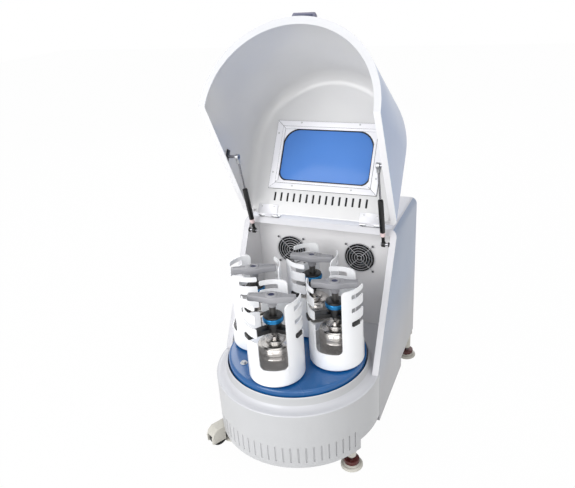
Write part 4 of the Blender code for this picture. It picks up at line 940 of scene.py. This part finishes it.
def bulkheadForm():
    s = caseSet
    half = s["radius"] - s["sheet"] - s["gap"]
    high = s["top"] - s["sheet"] - s["gap"]
    form = alongY(plate(roundedBox(half, s["panelLow"], high, 0.5, s["panelRound"]), *s["panel"]))
    x, z = values(fanSet, "x z")
    holes = bothSides(lambda: moved(alongY(rodForm(s["fanHole"], *s["holeSpan"], 72)), x, 0, z))
    return carved(form, gathered(holes))


finishPiece("baseShell", baseForm(), "casing", "frontPaint deckPaint", ("base_shell",), crease=40.0)
finishPiece("rearHousing", housingForm(), "casing",
            "casingPaint chamberPaint bandPaint rodChrome blackPaint lipBarPaint", ("rear_housing",))
finishPiece("fanBulkhead", bulkheadForm(), "casing", "chamberPaint", ("bulkhead_panel",))
print("stage: casing made")

# Hood, drawn closed and laid open with swing
hoodSet = {
    "sideRound": 19.0, "frontRound": 30.0, "fuller": 14.0, "roundSteps": 10, "rimZ": 243.0, "rim": 20.0,
    "rimSide": 17.0, "rimBack": 196.0, "lift": 3.0, "back": 200.0, "end": 470.0, "cutLow": 223.0,
    "studY": 75.7, "studZ": 423.9, "studRadius": 4.0, "studInner": 205.3, "plateLong": 38.0,
    "plateWide": 16.0, "plateThick": 3.0, "windowHalf": 143.0, "windowFront": -65.0,
    "windowBack": 100.0, "frontCorner": 40.0, "backCorner": 20.0, "vents": 15, "ventWidth": 6.0,
    "ventFront": 134.0, "ventBack": 160.0, "ventPitch": 20.1, "ventRound": 1.2, "through": (570, 600),
    "slotShadeSpan": (588.2, 589.2), "trimDeep": 23.0,
}


def hoodLoft(offset, low, back, fuller=0.0):
    # straight sides to the fillet, which grows from the sides to the front; the inside has a fuller one
    radius, top, steps = values(caseSet, "radius top steps")
    sideRound, frontRound, roundSteps = values(hoodSet, "sideRound frontRound roundSteps")
    rings = [[(x, y, low) for x, y in bowPoints(radius - offset, back, steps)]]
    for step in range(roundSteps + 1):
        turn = math.radians(90.0 * step / roundSteps)
        ring = []
        for x, y in bowPoints(1.0, 0.0, steps):
            fillet = sideRound + (frontRound - sideRound) * y * y - offset + fuller
            reach = radius - offset - fillet * (1 - math.cos(turn))
            ring.append((reach * x, reach * y, top - offset - fillet * (1 - math.sin(turn))))
        ring[0] = (ring[0][0], back, ring[0][2])
        ring[-1] = (ring[-1][0], back, ring[-1][2])
        rings.append(ring)
    return lofted(rings)


def underHood(higher):
    # what lies under the flat rim and the sloping one, to be cut away from the shell
    reach, end, low = mill["reach"], hoodSet["end"], hoodSet["cutLow"]
    rim = hoodSet["rimZ"] + higher
    line = caseSet["deck"] + caseSet["gap"] + (hoodSet["lift"] + higher) * stretch
    return alongX(plate([(-reach, rim), ((rim - line) / slope, rim), (end, line + slope * end), (end, low),
                         (-reach, low)], -reach, reach))


def ventPads(grow, span):
    s = hoodSet
    outline = roundedBox(s["ventWidth"] / 2 + grow, s["ventFront"] - grow, s["ventBack"] + grow,
                         s["ventRound"], s["ventRound"], 3)
    places = [s["ventPitch"] * (index - (s["vents"] - 1) / 2) for index in range(s["vents"])]
    return [moved(plate(outline, *span), place) for place in places]


def hoodForm():
    # finishes: 0 outside, 1 inside, 2 sloping rim, 3 stud plates, 4 studs, 5 flat rim
    s = hoodSet
    radius, top, sheet, deck, gap = values(caseSet, "radius top sheet deck gap")
    rimZ, rim, rimBack, back, fuller = values(s, "rimZ rim rimBack back fuller")
    studY, studZ, reach = s["studY"], s["studZ"], mill["reach"]
    form = carved(hoodLoft(0.0, rimZ - 10, back + 10), underHood(0.0))
    form = carved(form, carved(hoodLoft(sheet, rimZ - 10, back + 20, fuller), underHood(sheet)))
    mouth = bowPoints(radius - rim, rimBack, caseSet["steps"], radius - s["rimSide"])
    throatHalf = radius - s["sideRound"] - fuller - sheet
    throat = block((-throatHalf, rimBack - rim, top - sheet - rim), (throatHalf, back + 10, top - sheet))
    trim = block((-reach, back, top - s["trimDeep"]), (reach, s["end"], top + 10))
    window = roundedBox(s["windowHalf"], s["windowFront"], s["windowBack"], s["frontCorner"], s["backCorner"])
    openings = gathered([plate(window, *s["through"])] + ventPads(0.0, s["through"]))
    form = carved(form, plate(mouth, s["cutLow"], top - sheet - 10), throat, trim, openings)
    wall = radius - sheet - 0.3

    def isInside(spot, normal):
        inwards = normal.x * spot.x + normal.y * min(spot.y, 0) < 0
        return (normal.z < 0.5 and inwards) or (normal.z < -0.5 and spot.z > 500)

    def isRim(spot, normal):
        above = spot.z - deck - gap - s["lift"] * stretch - slope * spot.y
        return spot.z > rimZ + 3.4 and abs(normal.x) < 0.5 and -0.4 < above < s["lift"] * stretch + 0.4

    def studPlate():
        long, wide = s["plateLong"] / 2, s["plateWide"] / 2
        return softened(block((wall - s["plateThick"], studY - long, studZ - wide),
                              (wall, studY + long, studZ + wide)),
                        1.0, 2)

    inks(form, 1, isInside)
    inks(form, 5, lambda spot, normal: spot.z < rimZ + 3.4)
    inks(form, 2, isRim)
    studs = crossRods(s["studRadius"], s["studInner"], wall, studY, studZ)
    return gathered([form, inks(gathered(bothSides(studPlate)), 3), inks(gathered(studs), 4)])


# a thin dark sheet is let into each vent slot: painted shade in the slots
finishPiece("ventSlotShade", gathered(ventPads(0.2, hoodSet["slotShadeSpan"])), "hood", "darkGap", (), swing)
finishPiece("hoodShell", hoodForm(), "hood",
            "hoodOutsidePaint hoodInsideGelcoat rimPaint blackPaint rodChrome lipPaint", ("hood_shell",),
            swing, 30.0)
print("stage: hood made")

# Window, seen from inside the hood
frameSet = {
    "half": 166.0, "front": -85.0, "back": 123.0, "innerHalf": 139.0, "innerFront": -61.0, "innerBack": 98.0,
    "step": 7.0, "low": 583.7, "high": 586.7, "stepLow": 582.5, "seam": 0.9,
    "screws": ((90, -80), (-90, -80), (158, -45), (-158, -45), (158, 75), (-158, 75), (91, 113), (-91, 113)),
    # each outline: half width, front, back, front and back rounding
    "seal": (140.5, -62.5, 98.5, 52.0, 28.0), "sealIn": (136.2, -58.2, 94.2, 47.5, 23.5),
    "sealZ": (585.6, 587.0), "corner": (142.0, -64.0, 100.0),
    "cornerIn": (140.3, -62.3, 98.3, 51.8, 27.8), "cornerZ": (586.0, 586.9),
    "pane": (142.7, -64.7, 99.7, 39.7, 19.7), "paneZ": (587.0, 590.5), "through": (580, 590),
}


def windowFrameForm():
    s = frameSet
    half, front, back, low, high, seam = values(s, "half front back low high seam")
    innerHalf, innerFront, innerBack, step = values(s, "innerHalf innerFront innerBack step")
    inner = boxOutline(innerHalf, innerFront, innerBack)
    stepBox = (innerHalf + step, innerFront - step, innerBack + step)
    layers = []
    for outline, bottom, top in (((half, front, back), low, high), (stepBox, s["stepLow"], low + 0.6)):
        ring = carved(plate(boxOutline(*outline), bottom, top), plate(inner, bottom - 5, top + 5))
        seams = []
        for side in (-1, 1):
            for outerY, innerY in ((front, innerFront), (back, innerBack)):
                run = Vector((side * half, outerY, 0)) - Vector((side * innerHalf, innerY, 0))
                cutter = block((-8, -seam / 2, bottom - 2), (run.length + 8, seam / 2, top + 2))
                turned(cutter, math.degrees(math.atan2(run.y, run.x)))
                seams.append(moved(cutter, side * innerHalf, innerY))
        layers.append(softened(carved(ring, gathered(seams)), 0.45, 2, 50.0))
    # dark strips behind the mitres, round the step and round the frame: painted shade for those gaps and
    # edges
    stepHalf, stepFront, stepBack = stepBox[0] + 0.9, stepBox[1] - 0.9, stepBox[2] + 0.9
    gapShadeStrips = ((boxOutline(half + 0.8, front - 0.8, back + 0.8), inner, low + 1.4),
             (boxOutline(stepHalf, stepFront, stepBack),
              boxOutline(stepHalf - 4.0, stepFront + 4.0, stepBack - 4.0), low - 0.15))
    for outside, inside, bottom in gapShadeStrips:
        ring = carved(plate(outside, bottom, high - 0.4), plate(inside, bottom - 5, high + 5))
        layers.append(inks(ring, 1))
    return gathered(layers)


def framed(outline, inner, span):
    return carved(plate(outline, *span), plate(roundedBox(*inner), *frameSet["through"]))


finishPiece("windowTrim", windowFrameForm(), "hood", "trimPaint darkGap", ("window_frame",), swing)
screwsAt("windowTrimScrews", "hood", [(x, y, frameSet["low"] + 0.2) for x, y in frameSet["screws"]], swing,
         faceDown, 0.7)
finishPiece("windowSeal", framed(roundedBox(*frameSet["seal"]), frameSet["sealIn"], frameSet["sealZ"]),
            "hood", "blackRubber", (), swing)
# the sheet that fills the frame's corners behind the seal
finishPiece("windowCorners",
            framed(boxOutline(*frameSet["corner"]), frameSet["cornerIn"], frameSet["cornerZ"]), "hood",
            "trimPaint", (), swing)
finishPiece("tintedPane", softened(plate(roundedBox(*frameSet["pane"]), *frameSet["paneZ"]), 0.5, 2, 60.0),
            "hood", "tintedPane", ("window_pane",), swing)
dressNode("hoodGrip", "hood_handle", "hood", "gripGrey", 2.0, 3, 40.0)
print("stage: window and grip made")

# Hinges
leafScrews = {"across": (138, 176), "hood": (180, 585.3), "casing": (219, 592.0), "scale": 0.6}
for side, sign in sides:
    dressNode(side + "CasingLeaf", "hinge_%s_fixed_leaf" % side, "casing", "zincPlate", 0.3, 2)
    dressNode(side + "HoodLeaf", "hinge_%s_hood_leaf" % side, "hood", "trimPaint", 0.3, 2)
    screwsAt(side + "HingeHoodScrews", "hood",
             [(sign * x, *leafScrews["hood"]) for x in leafScrews["across"]],
             swing, faceDown, leafScrews["scale"])
    screwsAt(side + "HingeCasingScrews", "casing",
             [(sign * x, *leafScrews["casing"]) for x in leafScrews["across"]],
             still, still, leafScrews["scale"])
print("stage: hinges made")

# Gas struts, drawn upright from the foot eye
strutSet = {
    "x": 200.0, "footY": 187.0, "footZ": 551.0, "headY": 125.87, "headZ": 798.11, "length": 254.56,
    "eye": ((4.3, -5), (7.2, -5), (8, -4.2), (8, 4.2), (7.2, 5), (4.3, 5)),
    "neck": ((0, 6.5), (4.5, 6.5), (4.5, 25), (5.4, 27), (5.4, 29), (0, 29)),
    "collar": ((0, 28.5), (6.2, 28.5), (7, 30), (7, 36), (6.6, 36.6), (7, 37.2), (7, 41), (6.4, 42), (0, 42)),
    "tube": ((3.3, 46), (3.3, 148), (5.5, 148), (6.9, 147.4), (7.5, 146), (7.5, 43.5), (6.7, 42), (0, 42),
             (0, 46)),
}
strutLean = math.atan2(strutSet["headY"] - strutSet["footY"], strutSet["headZ"] - strutSet["footZ"])


def eyeForm():
    return alongX(lathe(strutSet["eye"], 40, closed=True))


def strutTube():
    s = strutSet
    return gathered([inks(lathe(s["neck"], 32), 0), inks(eyeForm(), 0), inks(lathe(s["collar"], 40), 1),
                     inks(lathe(s["tube"], 48), 0)])


def strutRod():
    length = strutSet["length"]
    rod = lathe([(0, 133), (2.6, 133), (3, 134), (3, length - 9), (0, length - 9)], 32)
    socket = lathe([(0, length - 20), (4.2, length - 20), (5, length - 19), (5, length - 8),
                    (0, length - 6.5)], 32)
    return gathered([inks(rod, 0), inks(socket, 1), inks(moved(eyeForm(), 0, 0, length), 1)])


for side, sign in sides:
    strutFoot = Matrix.Translation((sign * strutSet["x"], strutSet["footY"], strutSet["footZ"]))
    strutLay = strutFoot @ Matrix.Rotation(-strutLean, 4, "X")
    finishPiece(side + "StrutTube", strutTube(), "strut_%s_tube" % side, "strutBlack strutCollarPink",
                ("strut_%s_cylinder" % side,), strutLay)
    finishPiece(side + "StrutRod", strutRod(), "strut_%s_ram" % side, "rodChrome zincPlate",
                ("strut_%s_rod" % side,), strutLay)
print("stage: struts made")


# Fans, drawn facing down
def hoop(radius, wire, height, steps=72):
    section = []
    for i in range(8):
        angle = math.tau * i / 8
        section.append((radius + wire * math.cos(angle), height + wire * math.sin(angle)))
    return lathe(section, steps, closed=True)


def fanGuard():
    guard, wire, rings, height, screw = values(fanSet, "guard wire rings guardZ screw")
    parts = [hoop(guard * (index + 1) / rings - wire, wire, height) for index in range(rings)]
    corner = math.hypot(screw, screw)
    for index in range(4):
        spoke = moved(alongX(rodForm(wire * 1.1, 5.0, corner - 3.4, 10)), 0, 0, height + 1.2)
        ear = moved(hoop(3.4, 1.0, 0.0, 24), corner, 0, height + 1.2)
        parts += [turned(part, 90.0 * index + 45.0) for part in (spoke, ear)]
    return gathered(parts)


def fanFrame():
    square, front, rear, bore, hub = values(fanSet, "square front rear bore hub")
    height, shroud, shroudIn = values(fanSet, "guardZ shroud shroudIn")
    frame = softened(plate(boxOutline(square, -square, square), front, rear), 3.0, 4, 60.0, False,
                     lambda edge: edgeRun(edge)[2] > 5)
    frame = carved(frame, rodForm(bore, front + 3, rear + 9, 64), rodForm(shroudIn, front - 9, rear, 64))
    ring = lathe([(shroudIn, height + 1.4), (shroud - 0.5, height + 1.0), (shroud, height + 1.6),
                  (shroud, front + 1), (shroudIn, front + 1)], 64, closed=True)
    parts = [frame, ring, rodForm(hub, rear - 3, rear, 40)]
    for index in range(4):
        parts.append(turned(block((hub - 2, -3, rear - 3), (bore + 1, 3, rear)), 90.0 * index + 45.0))
    return gathered(parts)


def bladeForm(low, high):
    # a twisted blade, as sections from the hub to the tip
    hub, tip, rows, rootPitch, twist, middlePitch, thick = values(
        fanSet, "hub tip rows rootPitch twist middlePitch thick")
    reach = (high - low) / 2 / math.cos(math.radians(middlePitch)) * 0.92
    rings = []
    for step in range(rows + 1):
        share = step / rows
        radius = hub - 1 + (tip - hub + 1) * share
        pitch = math.radians(rootPitch - twist * share)
        ring = []
        for along, off in ((-reach, -thick), (reach, -thick), (reach, thick), (-reach, thick)):
            across = along * math.sin(pitch) + off * math.cos(pitch)
            height = (low + high) / 2 + along * math.cos(pitch) * 0.86 - off * math.sin(pitch)
            angle = across / max(radius, 18.0) + fanSet["sweep"] * share
            ring.append((radius * math.cos(angle), radius * math.sin(angle), height))
        rings.append(ring)
    return lofted(rings)


def fanWheel():
    front, rear, hub, blades = values(fanSet, "front rear hub blades")
    low, high = front + 3, rear - 3.3
    parts = [lathe([(0, low), (hub - 2, low), (hub, low + 2), (hub, high), (0, high)], 48)]
    for index in range(blades):
        parts.append(turned(bladeForm(low, high), 360.0 * index / blades))
    return gathered(parts)


for side, sign in sides:
    x, z, screw = sign * fanSet["x"], fanSet["z"], fanSet["screw"]
    fanSpot = Matrix.Translation((x, 0, z)) @ faceBack
    finishPiece(side + "FanFrame", fanFrame(), "casing", "fanBlack", ("fan_%s_unit" % side,), fanSpot)
    finishPiece(side + "FanGuard", fanGuard(), "casing", "guardWire", (), fanSpot)
    finishPiece(side + "FanWheel", fanWheel(), "fan_%s_wheel" % side, "fanBlack", ("fan_%s_rotor" % side,),
                fanSpot)
    corners = [(x + i * screw, 252.0, z + j * screw) for i in (-1, 1) for j in (-1, 1)]
    screwsAt(side + "FanScrews", "casing", corners, still, faceFront, 0.75, "guardScrewBlack")
print("stage: fans made")

# Disc and drive
discSet = {
    "radius": 196.0, "top": 288.0, "thick": 12.0, "low": 262.0, "round": 8.0, "rim": 6.0, "boss": 22.0,
    "hub": 32.0, "bossLow": 240.0, "shaft": 20.0, "bore": 12.3, "bolt": (-113.8, -113.2), "motorY": 360,
    "pulley": (74.0, 94.0),
    "fins": 8, "fin": ((59, -2, 114.3), (75, 2, 290.3)), "motorBore": (9.8, 94.0, 140.3),
    # each shaft: the radius of its pulley, of the groove and of the core, and the core's top
    "mainShaft": (95.0, 88.0, 20.0, 283.7), "motorShaft": (50.0, 43.0, 9.5, 140.0),
    "motor": ((0, 104.3), (65, 104.3), (65, 290.3), (62, 297.4), (55, 300.3), (0, 300.3)),
}


def discForm():
    radius, top, low, rounding, rim, bossLow = values(discSet, "radius top low round rim bossLow")
    under = top - discSet["thick"]
    profile = [(0, under), (radius - rim, under), (radius - rim, low), (radius - 1, low), (radius, low + 1)]
    for step in range(9):
        angle = math.radians(90.0 * step / 8)
        profile.append((radius - rounding * (1 - math.cos(angle)), top - rounding * (1 - math.sin(angle))))
    profile.append((0, top))
    bosses = [moved(rodForm(discSet["boss"], bossLow, under + 6, 40), x, y) for x, y in stationSpots]
    form = merged(lathe(profile, 144), rodForm(discSet["hub"], bossLow, under + 6, 48), *bosses)
    bores = [moved(rodForm(discSet["bore"], bossLow - 9, top + 9, 40), x, y) for x, y in stationSpots]
    bores.append(rodForm(discSet["shaft"] + 0.4, bossLow - 9, top - 4, 40))
    return carved(form, gathered(bores))


def hexBolt():
    outline = [(7 * math.cos(math.radians(60 * i)), 7 * math.sin(math.radians(60 * i))) for i in range(6)]
    head = softened(plate(outline, 1.5, 6.5), 0.8, 2, 40.0)
    washer = lathe([(0, 0), (9.5, 0), (10, 0.4), (10, 1.2), (9.5, 1.6), (0, 1.6)], 40)
    return gathered([head, washer])


def turnedShaft(radius, groove, core, coreTop):
    # a pulley with the belt's groove, and its shaft
    low, high = discSet["pulley"]
    slant = (radius - groove) / 6
    return lathe([(0, low), (radius - 1, low), (radius, low + 1), (radius, low + 3),
                  (groove, low + 3 + slant), (groove, high - 3 - slant), (radius, high - 3),
                  (radius, high - 1), (radius - 1, high), (core, high), (core, coreTop - 4),
                  (core - 2, coreTop), (0, coreTop)], 96)


def motorForm():
    fins = [turned(block(*discSet["fin"]), 360.0 / discSet["fins"] * i) for i in range(discSet["fins"])]
    body = carved(lathe(discSet["motor"], 96), gathered(fins), rodForm(*discSet["motorBore"], 40))
    return moved(softened(body, 0.6, 2, 50.0), 0, discSet["motorY"])


finishPiece("orbitDisc", discForm(), "disc_assembly", "discPaint", ("sun_disc",), crease=30.0)
finishPiece("discBolt", moved(hexBolt(), *discSet["bolt"], discSet["top"]), "disc_assembly", "zincPlate")
finishPiece("mainShaft", turnedShaft(*discSet["mainShaft"]), "disc_assembly", "turnedIron", ("main_shaft",))
finishPiece("motorPulley", moved(turnedShaft(*discSet["motorShaft"]), 0, discSet["motorY"]), "motor_drive",
            "turnedIron", ("motor_pulley",))
finishPiece("motorBody", motorForm(), "casing", "motorPaint", ("motor",))
dressNode("bearingBlock", "bearing_housing", "casing", "turnedIron", 0.4)
print("stage: disc and drive made")

# Casters: each corner's name, place and swivel angle
casterSet = {
    "spots": (("fl", -186.0, -100.0, -118.8), ("fr", 186.0, -100.0, 126.0), ("rl", -217.0, 457.0, -20.0),
              ("rr", 217.0, 457.0, 200.0)),
    "offset": 50.0, "half": 17.0, "pocket": 11.8, "arch": 27.3, "front": 33.0, "back": 29.0,
    "low": 18.0, "bonnet": 12.0, "axle": 26.5, "sleeve": 13.0, "sleeveLow": 36.0, "plate": 18.0,
    "plateTop": 97.7, "stemHole": 6.3, "wheel": 25.0, "wheelHalf": 11.2,
    "foot": ((0, 0), (29.5, 0), (31, 1.5), (31, 5.4), (30, 6.8), (27.5, 8.6), (24.5, 8.8), (23.5, 8.2),
             (20, 10.4), (18, 12), (0, 12)),
    "stem": ((0, 11.5), (6, 11.5), (6, 83), (5, 84), (0, 84)),
    "thumb": ((5.8, 14), (20.5, 14), (22, 15.5), (22, 24.5), (20.5, 26), (5.8, 26)),
}


def casterHousing():
    s = casterSet
    offset, half, pocket, arch, low, axle = values(s, "offset half pocket arch low axle")
    sleeve, sleeveLow, top, plateTop = values(s, "sleeve sleeveLow plate plateTop")
    bonnet = axle + arch + s["bonnet"]
    rear = -offset - s["back"]
    shoulder = sleeveLow + 6
    profile = [(-s["front"], low), (rear, low), (rear, axle + arch / 2), (rear + 6, bonnet - 10),
               (-offset - s["back"] / 3, bonnet), (0, bonnet), (0, shoulder), (-s["front"], shoulder)]
    body = softened(alongX(plate(profile, -half, half)), 3.0, 4, 40.0)
    tower = lathe([(0, sleeveLow), (sleeve - 1, sleeveLow), (sleeve, sleeveLow + 1), (sleeve, 86),
                   (top - 1, 91.7), (top, 92.7), (top, plateTop), (0, plateTop)], 48)
    well = moved(alongX(rodForm(arch, -pocket, pocket, 48)), 0, -offset, axle)
    corner = (-pocket, rear - 10, low - 10)
    body = carved(merged(body, tower), well, block(corner, (pocket, arch - offset, axle)),
                  block(corner, (pocket, -offset, axle + arch * 0.7)),
                  rodForm(s["stemHole"], sleeveLow - 10, 90, 32))
    pin = moved(alongX(rodForm(3, -half + 1, half - 1, 24)), 0, -offset, axle)
    return gathered([inks(body, 0), inks(pin, 1)])


def casterWheel():
    # half of the tread's section, from the hub to the middle groove, and the same mirrored
    half, radius = values(casterSet, "wheelHalf wheel")
    near = [(3.4, -half + 1), (14, -half + 1), (15, -half + 2.2), (19, -half + 2.2), (20, -half),
            (radius - 3, -half), (radius - 0.9, -half + 0.9), (radius, -half + 3), (radius, -1.2),
            (radius - 0.8, -0.6)]
    return alongX(lathe(near + [(reach, -side) for reach, side in reversed(near)], 64, closed=True))


def casterLeg():
    foot, stem, thumb = values(casterSet, "foot stem thumb")
    return gathered([inks(lathe(foot, 64), 0), inks(lathe(stem, 32), 1),
                     inks(knurled(thumb, 144, 24, 0.9), 2)])


for word, x, y, angle in casterSet["spots"]:
    place = Matrix.Translation((x, y, 0))
    turn = Matrix.Rotation(math.radians(angle + 90.0), 4, "Z")
    away = math.radians(angle)
    offset = casterSet["offset"]
    axleAt = Matrix.Translation((x + offset * math.cos(away), y + offset * math.sin(away), casterSet["axle"]))
    finishPiece(word + "CasterFork", casterHousing(), "caster_%s_swivel" % word, "casterCream zincPlate",
                ("caster_%s_housing" % word,), place @ turn)
    finishPiece(word + "CasterWheel", casterWheel(), "caster_%s_roller" % word, "blackRubber",
                ("caster_%s_wheel" % word,), axleAt @ turn)
    finishPiece(word + "CasterFoot", casterLeg(), "caster_%s_leg" % word,
                "casterCream zincPlate thumbwheelRed", ("caster_%s_foot" % word,), place)
print("stage: casters made")

# Back cover, with the mains inlet's three pins, and what is left of the CAD nodes
backSet = {
    "screwY": 469.0, "edge": 222.0, "heights": (130, 300, 470), "topX": 110.0, "topZ": 578,
    "inlet": (80, 480), "pins": ((-7, -2), (0, 3), (7, -2)), "pinDepth": (461, 468), "pinHalf": (1, 3),
}


def inletPins():
    middleX, middleZ = backSet["inlet"]
    halfX, halfZ = backSet["pinHalf"]
    near, far = backSet["pinDepth"]
    pins = []
    for x, z in backSet["pins"]:
        pin = block((middleX + x - halfX, near, middleZ + z - halfZ),
                    (middleX + x + halfX, far, middleZ + z + halfZ))
        pins.append(softened(pin, 0.3, 1))
    return gathered(pins)


coverScrews = [(sign * backSet["edge"], backSet["screwY"], z) for sign in (-1, 1) for z in backSet["heights"]]
coverScrews += [(sign * backSet["topX"], backSet["screwY"], backSet["topZ"]) for sign in (-1, 1)]
dressNode("backCover", "back_cover", "casing", "casingPaint", 0.5)
screwsAt("backCoverScrews", "casing", coverScrews, still, faceBack, 0.8)
dressNode("rockerSwitch", "main_switch", "switch", "blackPlastic", 0.7, 2, 30.0)
finishPiece("inletPins", inletPins(), "casing", "zincPlate")
for node, look in (("chassis_plate", "zincPlate"), ("drive_belt", "blackRubber")):
    for slot in nodes[node].material_slots:
        slot.material = finishes[look]
print("stage: back and plain nodes dressed")


print("stage: finished")
